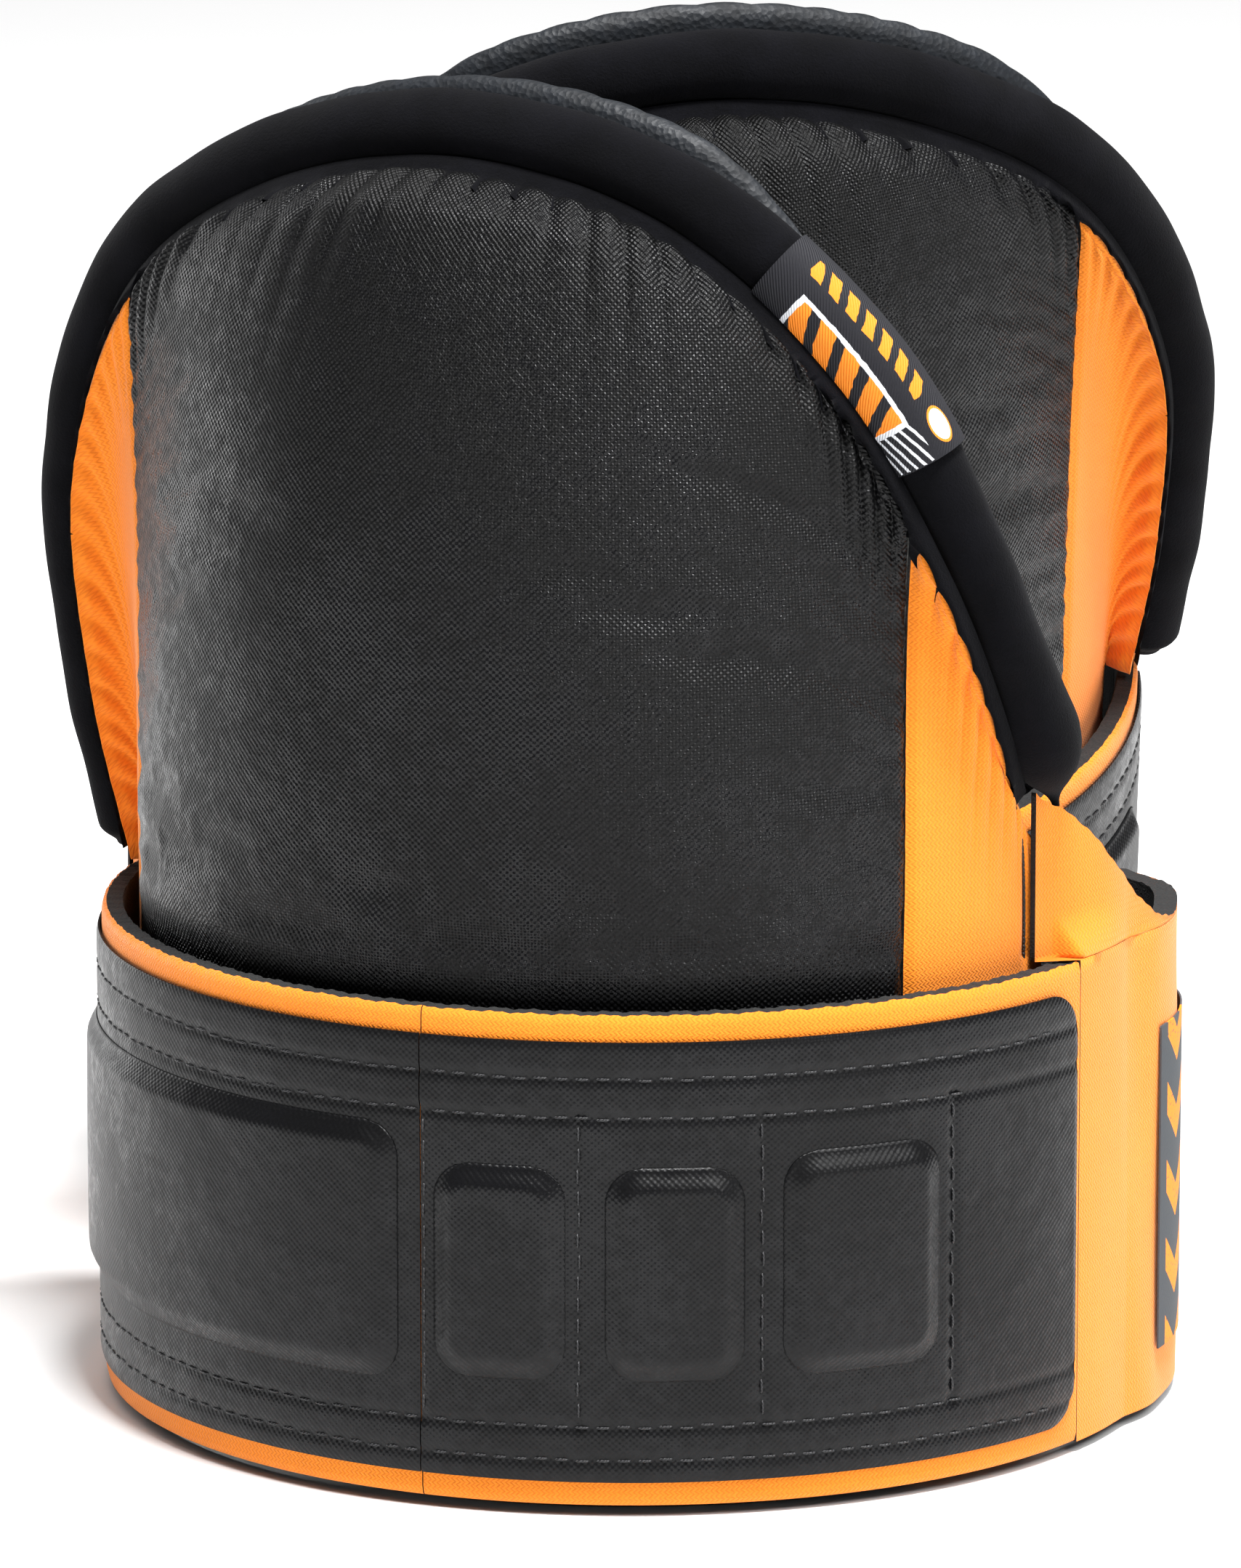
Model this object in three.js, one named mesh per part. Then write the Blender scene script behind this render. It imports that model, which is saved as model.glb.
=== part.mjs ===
// A pair of strap-on knee pads for kneeling work, standing one behind the other.
// Each pad is a curved foam cushion with a coated kneeling face, stretch side panels, a soft lining and
// a rolled rim. A wide strap runs round the calf, over the front of the shin part, and fastens there.
// Pad frame: origin on the floor at the leg's axis, -Y out of the kneeling face, +X to the outer side
// of the leg, +Z up. Angles about the leg's axis are in degrees from the front, towards the outer side.
import * as THREE from "three";

// Driving dimensions, millimetres and degrees
const FACE_R = 89.5; // kneeling face, about the leg's axis
const CUSHION_T = 29.9; // kneeling face to the inside of the lining
const COVER_T = 1.6; // coated face fabric, and the stretch fabric beside it
const LINING_T = 2;
const LAYER_GAP = 0.5;
const BASE_T = 1.5; // fabric under the foam
const FACE_FROM = -61; // edges of the coated face, where the side panels are sewn on
const FACE_TO = 55.4;
const SEAM_GAP = 0.5; // degrees between panels that meet in a seam

const RIM_R = 6.6; // rolled rim
const RIM_CLEAR = 7.9; // from the roll's centre to the cushion's edge
const LABEL_IN = 7;
const LABEL_OUT = 7.4;
const LABEL_FROM = 0.29; // along the rim, 0 at the top and 1 at its outer end
const LABEL_TO = 0.5;

const STRAP_IN = 92.2; // strap neoprene, about the leg's axis
const STRAP_OUT = 96.4;
const STRAP_LOW = 2;
const STRAP_TOP = 90;
const STRAP_END = 78.5; // where the strap's free end lies on the outer side
const CORNER_ANGLE = -89; // hinge line where the strap leaves the calf for the front
const FOLD_ANGLE = 0.7; // seam where the front strap folds
const PANEL = { from: 96.7, to: 97.4, hem: 4.5 };
const CELL = { from: 97.7, to: 98.6 };
const HOOK = { from: 91, to: 91.8, start: 41, end: 76, low: 14, top: 78 };
const LOOP = { from: 90, to: 90.7, start: 38, end: 75, low: 10, top: 82 };

const PAIR_DISTANCE = 145; // leg axis to leg axis, on the floor
const PAIR_DIRECTION = 23; // the back pad stands behind the front one along this bearing
const BACK_TURN = 26; // how far the back pad is turned
const BACK_LEAN = 16; // and leans forward

// The roll's centre line, from its inner foot over the top to its outer end, in the pad frame
const RIM_POINTS = [
  [-97, -5, 93.5],
  [-100, -15, 128],
  [-98, -26, 170],
  [-79, -39, 209],
  [-45, -50, 231],
  [-5, -56, 238],
  [36, -58, 228],
  [67, -54, 201],
  [84, -46, 168],
  [89, -30, 138],
  [88, -15, 117],
];
const FACE_CENTRE = new THREE.Vector3(0, -75, 110);

const COATED = { color: 0x1b1b1d, roughness: 0.38 };
const ORANGE = { color: 0xff9512, roughness: 0.9 };
const BINDING = { color: 0x0b0b0d, roughness: 0.95 };
const LEATHER = { color: 0x26282c, roughness: 0.6 };
const FOAM = { color: 0x8a8a86, roughness: 1 };
const HOOK_TAPE = { color: 0x151517, roughness: 1 };
const PRINT = { color: 0x4b4d50, roughness: 0.7 };

const radians = THREE.MathUtils.degToRad;
const lerp = THREE.MathUtils.lerp;

// A point at a radius and angle about the leg's axis.
function polar(radius, angle, z) {
  return new THREE.Vector3(radius * Math.sin(radians(angle)), -radius * Math.cos(radians(angle)), z);
}

// count + 1 evenly spaced values from one number to another
function steps(from, to, count) {
  return Array.from({ length: count + 1 }, (_, i) => lerp(from, to, i / count));
}

// A closed solid between two surfaces: place(column, row, side) gives the outer (0) and inner (1) point.
function slab(columns, rows, place) {
  const positions = [];
  for (const side of [0, 1])
    for (const c of columns) for (const r of rows) positions.push(...place(c, r, side).toArray());
  const at = (side, i, j) => (side * columns.length + i) * rows.length + j;
  const index = [];
  const quad = (a, b, c, d) => index.push(a, b, c, a, c, d);
  const right = columns.length - 1;
  const top = rows.length - 1;
  for (let i = 0; i < right; i++) {
    for (let j = 0; j < top; j++) {
      quad(at(0, i, j), at(0, i + 1, j), at(0, i + 1, j + 1), at(0, i, j + 1));
      quad(at(1, i, j), at(1, i, j + 1), at(1, i + 1, j + 1), at(1, i + 1, j));
    }
    quad(at(0, i, 0), at(1, i, 0), at(1, i + 1, 0), at(0, i + 1, 0));
    quad(at(0, i, top), at(0, i + 1, top), at(1, i + 1, top), at(1, i, top));
  }
  for (let j = 0; j < top; j++) {
    quad(at(0, 0, j), at(0, 0, j + 1), at(1, 0, j + 1), at(1, 0, j));
    quad(at(0, right, j), at(1, right, j), at(1, right, j + 1), at(0, right, j + 1));
  }
  const geometry = new THREE.BufferGeometry();
  geometry.setAttribute("position", new THREE.Float32BufferAttribute(positions, 3));
  geometry.setIndex(index);
  geometry.computeVertexNormals();
  return geometry;
}

// Cushion: columns run up the face and over to the rim. t is the column, -1 at the inner foot of the
// rim, 0 at its top and 1 at its outer end.
const rim = new THREE.CatmullRomCurve3(RIM_POINTS.map((p) => new THREE.Vector3(...p)));
const rimAt = (t) => rim.getPoint((t + 1) / 2);

// Two directions across the roll: in, towards the middle of the face, and out, away from the leg.
function rimFrame(t) {
  const centre = rimAt(t);
  const along = rim.getTangent((t + 1) / 2);
  const inward = FACE_CENTRE.clone().sub(centre);
  inward.addScaledVector(along, -inward.dot(along)).normalize();
  const outward = new THREE.Vector3().crossVectors(inward, along).normalize();
  if (outward.y > 0) outward.negate();
  return { centre, inward, outward };
}

// A point beside the roll, so far inwards across the face and so far outwards from the leg.
function besideRim(t, across, out) {
  const f = rimFrame(t);
  return f.centre.addScaledVector(f.inward, across).addScaledVector(f.outward, out);
}

// Each column stands upright under its own point of the rim.
function columnAngle(t) {
  const edge = besideRim(t, RIM_CLEAR, 0);
  return THREE.MathUtils.radToDeg(Math.atan2(edge.x, -edge.y));
}

// The column that stands at an angle, by halving.
function columnOf(angle) {
  let [low, high] = [-1, 1];
  while (high - low > 1e-6) {
    const middle = (low + high) / 2;
    if (columnAngle(middle) < angle) low = middle;
    else high = middle;
  }
  return (low + high) / 2;
}

const SHOULDER = 91; // the face is upright up to here, then domes back to the rim
const EDGE_HALF = 7; // half the cushion's thickness where it meets the roll
const DOME_POWER = 3;

// A point of the cushion at a depth under its face. s runs from the shoulder (0) to the rim (1).
function cushionPoint(t, s, depth) {
  const low = polar(FACE_R - depth, columnAngle(t), SHOULDER);
  const edge = besideRim(t, RIM_CLEAR, EDGE_HALF * (1 - (2 * depth) / CUSHION_T));
  const back = 1 - Math.sqrt(1 - s ** DOME_POWER);
  const rise = Math.max(edge.z - SHOULDER, 0.5);
  return new THREE.Vector3(lerp(low.x, edge.x, back), lerp(low.y, edge.y, back), SHOULDER + rise * s);
}

const DOME_ROWS = [0, 0.3, 0.55, 0.75, 0.9, 1];
const FLOOR_ROW = -1; // the row where the cushion's layers stand on the base

function layer(columns, from, to, foot) {
  return slab(columns, [FLOOR_ROW, ...DOME_ROWS], (t, s, side) => {
    const depth = side ? to : from;
    return s === FLOOR_ROW ? polar(FACE_R - depth, columnAngle(t), foot) : cushionPoint(t, s, depth);
  });
}

// All layers share their columns, so that their flats stay parallel.
const ALL_COLUMNS = steps(-1, 1, 24);
const LAYER_FOOT = BASE_T + LAYER_GAP;

function columnsBetween(fromAngle, toAngle) {
  const [from, to] = [columnOf(fromAngle), columnOf(toAngle)];
  return [from, ...ALL_COLUMNS.filter((t) => t > from + 0.01 && t < to - 0.01), to];
}

const face = (fromAngle, toAngle) => layer(columnsBetween(fromAngle, toAngle), 0, COVER_T, LAYER_FOOT);
const kneelingCover = () => face(FACE_FROM + SEAM_GAP, FACE_TO - SEAM_GAP);
const innerSidePanel = () => face(-90, FACE_FROM);
const outerSidePanel = () => face(FACE_TO, 90);
const foamCore = () =>
  layer(ALL_COLUMNS, COVER_T + LAYER_GAP, CUSHION_T - LINING_T - LAYER_GAP, LAYER_FOOT);

// The lining goes on behind the roll as a padded collar.
const COLLAR = [
  { s: 2, across: 0, near: 7.9, far: 11 },
  { s: 3, across: -6, near: 7, far: 9.5 },
];

function kneeLining() {
  const rows = [FLOOR_ROW, ...DOME_ROWS, ...COLLAR.map((c) => c.s)];
  return slab(ALL_COLUMNS, rows, (t, s, side) => {
    const depth = side ? CUSHION_T : CUSHION_T - LINING_T;
    const collar = COLLAR.find((c) => c.s === s);
    if (collar) return besideRim(t, collar.across, -(side ? collar.far : collar.near));
    return s === FLOOR_ROW ? polar(FACE_R - depth, columnAngle(t), LAYER_FOOT) : cushionPoint(t, s, depth);
  });
}

const basePanel = () =>
  slab(ALL_COLUMNS, [0, BASE_T], (t, z, side) =>
    polar(side ? FACE_R - CUSHION_T : FACE_R, columnAngle(t), z),
  );

function circle(radius, sides) {
  return Array.from({ length: sides }, (_, i) => {
    const a = (2 * Math.PI * i) / sides;
    return new THREE.Vector2(radius * Math.cos(a), radius * Math.sin(a));
  });
}

function rimBinding() {
  const options = { steps: 44, bevelEnabled: false, extrudePath: rim };
  return new THREE.ExtrudeGeometry(new THREE.Shape(circle(RIM_R, 10)), options);
}

function rimLabel() {
  const path = new THREE.CatmullRomCurve3(steps(LABEL_FROM, LABEL_TO, 6).map(rimAt));
  const section = new THREE.Shape(circle(LABEL_OUT, 16));
  section.holes.push(new THREE.Path(circle(LABEL_IN, 16)));
  return new THREE.ExtrudeGeometry(section, { steps: 8, bevelEnabled: false, extrudePath: path });
}

// Strap: an arc over the shin part of the cushion, and a flat half ellipse behind the leg.
const arcPatch = (fromAngle, toAngle, count, low, top, inner, outer) =>
  slab(steps(fromAngle, toAngle, count), [low, top], (angle, z, side) =>
    polar(side ? inner : outer, angle, z),
  );

// Behind the leg the strap leaves the arc. BACK_PATH is its outer face there, seen from above, from the
// outer side of the leg to the hinge line on the inner side.
const BACK_PATH = [
  [96.4, 0],
  [98, 12],
  [96, 27],
  [88, 43],
  [70, 53],
  [45, 47],
  [20, 32],
  [-10, 20],
  [-45, 13],
  [-80, 12],
  [-94, 9],
  [-96.4, 3],
  [-96.4, -0.8],
];
const backPath = new THREE.CatmullRomCurve3(BACK_PATH.map(([x, y]) => new THREE.Vector3(x, y, 0)));
const ARC_END = 90; // places along the strap: degrees up to here, then hundredths of the back path
const STRAP_T = STRAP_OUT - STRAP_IN;

// A point of the strap, so far outside its outer face.
function strapPoint(place, z, outside) {
  if (place <= ARC_END) return polar(STRAP_OUT + outside, place, z);
  const q = (place - ARC_END) / 100;
  const outward = backPath.getTangent(q).cross(new THREE.Vector3(0, 0, 1));
  return backPath.getPoint(q).addScaledVector(outward, outside).setZ(z);
}

// The wing rises in front of the strap's end to the rim's tail, and its raw top edge sweeps down.
const WING_TO = ARC_END + 34;
const WING_TOPS = [
  { place: 75.5, z: 110 },
  { place: 84, z: 104 },
  { place: 90, z: 97 },
  { place: 100, z: STRAP_TOP + 0.8 },
  { place: WING_TO, z: STRAP_TOP + 0.8 },
];

function wingTop(place) {
  const i = Math.max(1, WING_TOPS.findIndex((p) => p.place >= place - 1e-6));
  const [a, b] = [WING_TOPS[i - 1], WING_TOPS[i]];
  return lerp(a.z, b.z, (place - a.place) / (b.place - a.place));
}

// Above the strap's free end the wing runs further forward, to its first top point.
function outerWing() {
  const rows = [
    { start: STRAP_END + SEAM_GAP, z: () => STRAP_LOW },
    { start: STRAP_END + SEAM_GAP, z: () => STRAP_TOP + 0.4 },
    { start: WING_TOPS[0].place, z: () => STRAP_TOP + 0.5 },
    { start: WING_TOPS[0].place, z: wingTop },
  ];
  return slab(steps(0, 1, 10), rows, (along, row, side) => {
    const place = lerp(row.start, WING_TO, along);
    return strapPoint(place, row.z(place), side ? -STRAP_T : 0);
  });
}

const calfStrap = () =>
  slab(steps(WING_TO + SEAM_GAP, ARC_END + 100, 20), [STRAP_LOW, STRAP_TOP], (place, z, side) =>
    strapPoint(place, z, side ? -STRAP_T : 0),
  );

const PRINT_PATCH = { from: 98, to: 117, low: 12, top: 72, outside: 0.8, inside: 0.3 };
const wingPrint = () =>
  slab(
    steps(PRINT_PATCH.from, PRINT_PATCH.to, 6),
    [PRINT_PATCH.low, PRINT_PATCH.top],
    (place, z, side) => strapPoint(place, z, side ? PRINT_PATCH.inside : PRINT_PATCH.outside),
  );

const [innerFrom, innerTo] = [CORNER_ANGLE + SEAM_GAP / 2, FOLD_ANGLE - SEAM_GAP / 2];
const [tipFrom, tipTo] = [FOLD_ANGLE + SEAM_GAP / 2, STRAP_END];
const PANEL_LOW = STRAP_LOW + PANEL.hem;
const PANEL_TOP = STRAP_TOP - PANEL.hem;
const band = (from, to, count) => arcPatch(from, to, count, STRAP_LOW, STRAP_TOP, STRAP_IN, STRAP_OUT);
const skin = (from, to, count) =>
  arcPatch(from, to, count, PANEL_LOW, PANEL_TOP, PANEL.from, PANEL.to);
const cell = (from, to, count, low, top) => arcPatch(from, to, count, low, top, CELL.from, CELL.to);

// The pieces of one pad: [name, finish, geometry]
const PIECES = [
  ["kneeling_cover", COATED, kneelingCover],
  ["inner_side_panel", ORANGE, innerSidePanel],
  ["outer_side_panel", ORANGE, outerSidePanel],
  ["foam_core", FOAM, foamCore],
  ["knee_lining", LEATHER, kneeLining],
  ["base_panel", COATED, basePanel],
  ["rim_binding", BINDING, rimBinding],
  ["rim_label", BINDING, rimLabel],
  ["outer_wing", ORANGE, outerWing],
  ["wing_print", PRINT, wingPrint],
  ["calf_strap", ORANGE, calfStrap],
  [
    "loop_patch",
    HOOK_TAPE,
    () => arcPatch(LOOP.start, LOOP.end, 8, LOOP.low, LOOP.top, LOOP.from, LOOP.to),
  ],
  ["strap_inner_half", ORANGE, () => band(innerFrom, innerTo, 13)],
  ["strap_inner_skin", COATED, () => skin(innerFrom, innerTo, 13)],
  ["strap_long_cell", COATED, () => cell(-76, -2.5, 11, 24, 68)],
  ["strap_tip_half", ORANGE, () => band(tipFrom, tipTo, 12)],
  ["strap_tip_skin", COATED, () => skin(tipFrom, tipTo - 1, 12)],
  ["strap_cell_1", COATED, () => cell(3, 15.5, 3, 26, 62)],
  ["strap_cell_2", COATED, () => cell(21, 34, 3, 26, 62)],
  ["strap_cell_3", COATED, () => cell(39.5, 56, 4, 26, 64)],
  [
    "hook_patch",
    HOOK_TAPE,
    () => arcPatch(HOOK.start, HOOK.end, 8, HOOK.low, HOOK.top, HOOK.from, HOOK.to),
  ],
];

function buildPad(side) {
  const pad = new THREE.Group();
  for (const [name, finish, geometry] of PIECES) {
    const mesh = new THREE.Mesh(geometry(), new THREE.MeshStandardMaterial({ metalness: 0, ...finish }));
    mesh.name = `${side}_${name}`;
    pad.add(mesh);
  }
  return pad;
}

const leftPad = buildPad("left");

// The right pad is the mirror image. It leans forward, turned, behind the left one.
const rightPad = new THREE.Group();
const mirrored = buildPad("right");
mirrored.scale.x = -1;
const leaning = new THREE.Group();
leaning.rotation.x = radians(BACK_LEAN);
leaning.add(mirrored);
rightPad.add(leaning);
rightPad.rotation.z = radians(BACK_TURN);
rightPad.position.set(
  -PAIR_DISTANCE * Math.sin(radians(PAIR_DIRECTION)),
  PAIR_DISTANCE * Math.cos(radians(PAIR_DIRECTION)),
  0,
);

const pair = new THREE.Group();
pair.add(leftPad, rightPad);
pair.updateMatrixWorld(true);
rightPad.position.z = -new THREE.Box3().setFromObject(rightPad, true).min.z;

// The origin is on the floor, under the middle of the pair's outer box.
const middle = new THREE.Box3().setFromObject(pair, true).getCenter(new THREE.Vector3());
pair.position.set(-middle.x, -middle.y, 0);

export default pair;
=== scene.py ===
"""A pair of strap-on knee pads, finished in cloth, coated fabric, leather-look lining and stitching."""

import math
from functools import partialmethod

import bpy
import numpy as np
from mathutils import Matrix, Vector


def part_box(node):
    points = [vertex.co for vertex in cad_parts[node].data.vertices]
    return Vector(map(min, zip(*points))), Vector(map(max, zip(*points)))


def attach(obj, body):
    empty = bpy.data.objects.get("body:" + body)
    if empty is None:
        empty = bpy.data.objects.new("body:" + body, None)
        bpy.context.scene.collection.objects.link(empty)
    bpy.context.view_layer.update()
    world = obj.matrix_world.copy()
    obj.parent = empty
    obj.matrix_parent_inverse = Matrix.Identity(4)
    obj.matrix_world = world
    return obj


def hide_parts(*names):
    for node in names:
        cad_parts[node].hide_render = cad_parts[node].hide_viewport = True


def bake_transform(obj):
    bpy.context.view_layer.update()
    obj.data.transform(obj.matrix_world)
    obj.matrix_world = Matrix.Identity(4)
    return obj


bl_info = {
    "name": "Knee pads",
    "version": (1, 0, 0),
    "blender": (4, 5, 0),
    "location": "View3D > Sidebar > Knee pads",
    "description": "Builds the cloth, rim, straps and stitching of a standing pair of knee pads",
    "category": "Mesh",
}

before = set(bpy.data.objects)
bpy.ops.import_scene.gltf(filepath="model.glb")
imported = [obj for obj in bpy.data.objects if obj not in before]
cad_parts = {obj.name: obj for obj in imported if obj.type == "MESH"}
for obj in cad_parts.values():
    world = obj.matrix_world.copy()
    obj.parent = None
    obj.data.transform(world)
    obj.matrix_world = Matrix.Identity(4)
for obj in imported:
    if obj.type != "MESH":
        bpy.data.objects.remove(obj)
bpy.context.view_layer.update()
SIDES = ("left", "right")


def node_points(name):
    """All corners of a solid, in metres."""
    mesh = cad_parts[name].data
    points = np.empty(len(mesh.vertices) * 3)
    mesh.vertices.foreach_get("co", points)
    return points.reshape(-1, 3)


STRAP_OUT = 96.4  # strap's outer face from the leg's axis, millimetres
_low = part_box("left_strap_inner_half")[0]
_radius = 0.001 * STRAP_OUT
# The left leg's axis: the strap's inner half reaches the full radius in front and nearly so at its side
LEFT_AXIS = np.array([_low[0] + _radius * math.sin(math.radians(88.75)), _low[1] + _radius, 0.0])


def mirror_map():
    """The turn, flip and shift that carries the left pad onto the right, by least squares on solids' middles."""
    names = [n[5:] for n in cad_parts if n.startswith("left_")]
    a = np.array([node_points("left_" + n).mean(0) for n in names])
    b = np.array([node_points("right_" + n).mean(0) for n in names])
    solved = np.linalg.lstsq(np.column_stack([a, np.ones(len(a))]), b, rcond=None)[0]
    u, _, v = np.linalg.svd(solved[:3])
    turn = u @ v
    return turn, b.mean(0) - a.mean(0) @ turn


MIRROR_TURN, MIRROR_SHIFT = mirror_map()


def place(points, side):
    """Millimetres in a pad's own frame to metres in the row's frame."""
    out = np.asarray(points, float) * 0.001 + LEFT_AXIS
    return out if side == "left" else out @ MIRROR_TURN + MIRROR_SHIFT


# ---------------------------------------------------------------- sizes and colours


def size(name, value, text, low=0.0):
    return bpy.props.FloatProperty(name=name, description=text, default=value, min=low)


def degrees(name, value, text):
    return bpy.props.FloatProperty(name=name, description=text, default=value, min=-180, max=180)


def colour(name, value, text):
    return bpy.props.FloatVectorProperty(
        name=name, description=text, default=value, subtype="COLOR", size=3, min=0, max=1
    )


class PadSizes(bpy.types.PropertyGroup):
    face_radius: size("Face radius", 89.5, "Kneeling face from the leg's axis, mm")
    cushion: size("Cushion", 29.9, "Kneeling face to the inside of the lining, mm")
    cover: size("Cover", 1.6, "Thickness of the face and side fabric, mm")
    lining: size("Lining", 2.0, "Thickness of the lining, mm")
    face_from: degrees("Face from", -61, "Seam on the inner side, degrees from the front")
    face_to: degrees("Face to", 55.4, "Seam on the outer side, degrees from the front")
    gather: size("Gather height", 1.9, "Height of the puckers beside the rim, mm")
    pressure: size("Foam pressure", 40.0, "How hard the foam presses the face fabric out")
    slack: size("Slack", 0.013, "How much larger than its place the face fabric is cut")
    swell_limit: size("Swell limit", 2.2, "Farthest that the face fabric moves, mm")
    rim_radius: size("Rim radius", 6.6, "Radius of the rolled rim, mm")
    lip: size("Rim lip", 4.2, "Width of the binding's scalloped edge on the face, mm")
    strap_low: size("Strap bottom", 2.0, "Lower edge of the strap, mm")
    strap_top: size("Strap top", 90.0, "Upper edge of the strap, mm")
    strap_end: degrees("Strap end", 78.5, "Where the strap's free end lies")
    hem: size("Hem", 4.5, "Orange edge above and below the coated panel, mm")
    cell_rise: size("Cell rise", 1.7, "How far the padded cells stand out of the panel, mm")
    stitch: size("Stitch", 2.7, "Length of one stitch, mm")


class PadColours(bpy.types.PropertyGroup):
    coated: colour("Coated fabric", (0.0022, 0.0022, 0.0025), "Black coating of the face and strap")
    orange: colour("Orange", (0.95, 0.26, 0.014), "Knit of the side panels and straps")
    binding: colour("Binding", (0.0012, 0.0012, 0.0018), "Brushed knit of the rim")
    core: colour("Foam core", (0.012, 0.012, 0.012), "Cut edge and inside of the neoprene")
    leather: colour("Lining", (0.008, 0.0095, 0.012), "Soft leather-look lining")
    printed: colour("Print", (0.055, 0.062, 0.070), "Printed patch on the wing")
    floor: colour("Floor", (0.88, 0.88, 0.88), "Floor and backdrop")


def sizes():
    return bpy.context.scene.knee_pad_sizes


def colours():
    return bpy.context.scene.knee_pad_colours


# ---------------------------------------------------------------- curves and the cushion


def stack(*xyz):
    return np.stack(np.broadcast_arrays(*xyz), -1).astype(float)


def polar(radius, angle, z):
    """A point at a radius and angle about the leg's axis: x = r sin a, y = -r cos a."""
    a = np.radians(angle)
    return stack(radius * np.sin(a), -radius * np.cos(a), z)


def ease(x):
    """3x^2 - 2x^3 between 0 and 1, flat outside."""
    x = np.clip(x, 0, 1)
    return x * x * (3 - 2 * x)


def through(points, t):
    """Centripetal Catmull-Rom curve through points, at t from 0 to 1: a cubic on each span whose end
    slopes come from the neighbouring spans, weighted by the square roots of their lengths."""
    p = np.asarray(points, float)
    p = np.vstack([2 * p[0] - p[1], p, 2 * p[-1] - p[-2]])
    spans = len(p) - 3
    at = np.asarray(t, float) * spans
    i = np.clip(np.floor(at).astype(int), 0, spans - 1)
    w = (at - i)[..., None]
    p0, p1, p2, p3 = p[i], p[i + 1], p[i + 2], p[i + 3]
    d0, d1, d2 = (np.sqrt(np.linalg.norm(b - a, axis=-1, keepdims=True)) for a, b in ((p0, p1), (p1, p2), (p2, p3)))
    m1 = ((p1 - p0) / d0 - (p2 - p0) / (d0 + d1) + (p2 - p1) / d1) * d1
    m2 = ((p2 - p1) / d1 - (p3 - p1) / (d1 + d2) + (p3 - p2) / d2) * d1
    return p1 + m1 * w + (3 * (p2 - p1) - 2 * m1 - m2) * w**2 + (2 * (p1 - p2) + m1 + m2) * w**3


def unit(v):
    return v / np.linalg.norm(v, axis=-1, keepdims=True)


def slope(points, t):
    """Unit direction of the curve, from two close points."""
    return unit(through(points, np.clip(t + 1e-4, 0, 1)) - through(points, np.clip(t - 1e-4, 0, 1)))


# The roll's centre line, from its inner foot over the top to its outer end
RIM_POINTS = (
    (-97, -5, 93.5),
    (-100, -15, 128),
    (-98, -26, 170),
    (-79, -39, 209),
    (-45, -50, 231),
    (-5, -56, 238),
    (36, -58, 228),
    (67, -54, 201),
    (84, -46, 168),
    (89, -30, 138),
    (88, -15, 117),
)
FACE_MIDDLE = (0, -75, 110)
RIM_CLEAR = 7.9
SHOULDER = 91
EDGE_HALF = 7
DOME_POWER = 3


def rim_frame(t):
    """Centre of the roll, the way in across the face, and the way out from the leg."""
    s = (np.asarray(t, float) + 1) / 2
    centre = through(RIM_POINTS, s)
    along = slope(RIM_POINTS, s)
    inward = np.array(FACE_MIDDLE) - centre
    inward = unit(inward - (inward * along).sum(-1, keepdims=True) * along)
    outward = unit(np.cross(inward, along))
    outward = np.where(outward[..., 1:2] > 0, -outward, outward)
    return centre, inward, outward


def beside_rim(t, across, out):
    centre, inward, outward = rim_frame(t)
    return centre + inward * np.asarray(across)[..., None] + outward * np.asarray(out)[..., None]


_TABLE_T = np.linspace(-1, 1, 2001)
_EDGE = beside_rim(_TABLE_T, RIM_CLEAR, 0.0)
_TABLE_ANGLE = np.degrees(np.arctan2(_EDGE[:, 0], -_EDGE[:, 1]))


def column_angle(t):
    return np.interp(t, _TABLE_T, _TABLE_ANGLE)


def column_of(angle):
    return np.interp(angle, _TABLE_ANGLE, _TABLE_T)


def cushion_point(t, s, depth):
    """A point at a depth under the face. Below the shoulder (s < 0) the face is an upright cylinder; above
    it leans back to the rim by 1 - sqrt(1 - s^3)."""
    t, s, depth = np.broadcast_arrays(np.asarray(t, float), np.asarray(s, float), np.asarray(depth, float))
    low = polar(sizes().face_radius - depth, column_angle(t), SHOULDER)
    edge = beside_rim(t, RIM_CLEAR, EDGE_HALF * (1 - 2 * depth / sizes().cushion))
    up = np.clip(s, 0, 1)
    back = (1 - np.sqrt(1 - up**DOME_POWER))[..., None]
    point = low + (edge - low) * back
    rise = np.maximum(edge[..., 2] - SHOULDER, 0.5)
    point[..., 2] = SHOULDER + rise * up + np.minimum(s, 0) * (SHOULDER - 2)
    return point


def edge_distance(t, s):
    """Distance down the face from the rim: near the edge its square is 3 L^2 e + (rise e)^2, e = 1 - s."""
    edge = beside_rim(t, RIM_CLEAR, EDGE_HALF)
    low = polar(sizes().face_radius, column_angle(t), SHOULDER)
    reach = np.hypot(*(edge - low)[..., :2].T).T
    rise = np.maximum(edge[..., 2] - SHOULDER, 0.5)
    e = 1 - s
    return np.sqrt(3 * reach**2 * np.clip(e, 0, 1) + (rise * e) ** 2)


def edge_rows(t, distance):
    """The row that lies a distance down from the rim, the other way round."""
    edge = beside_rim(t, RIM_CLEAR, EDGE_HALF)
    low = polar(sizes().face_radius, column_angle(t), SHOULDER)
    a = 3 * ((edge - low)[..., :2] ** 2).sum(-1)
    b = np.maximum(edge[..., 2] - SHOULDER, 0.5) ** 2
    return 1 - (-a + np.sqrt(a * a + 4 * b * distance**2)) / (2 * b)


def normals(grid):
    """Unit normals of a grid of points, by the cross product of its two slopes."""
    n = np.cross(np.gradient(grid, axis=0), np.gradient(grid, axis=1))
    return n / np.maximum(np.linalg.norm(n, axis=-1, keepdims=True), 1e-9)


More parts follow.
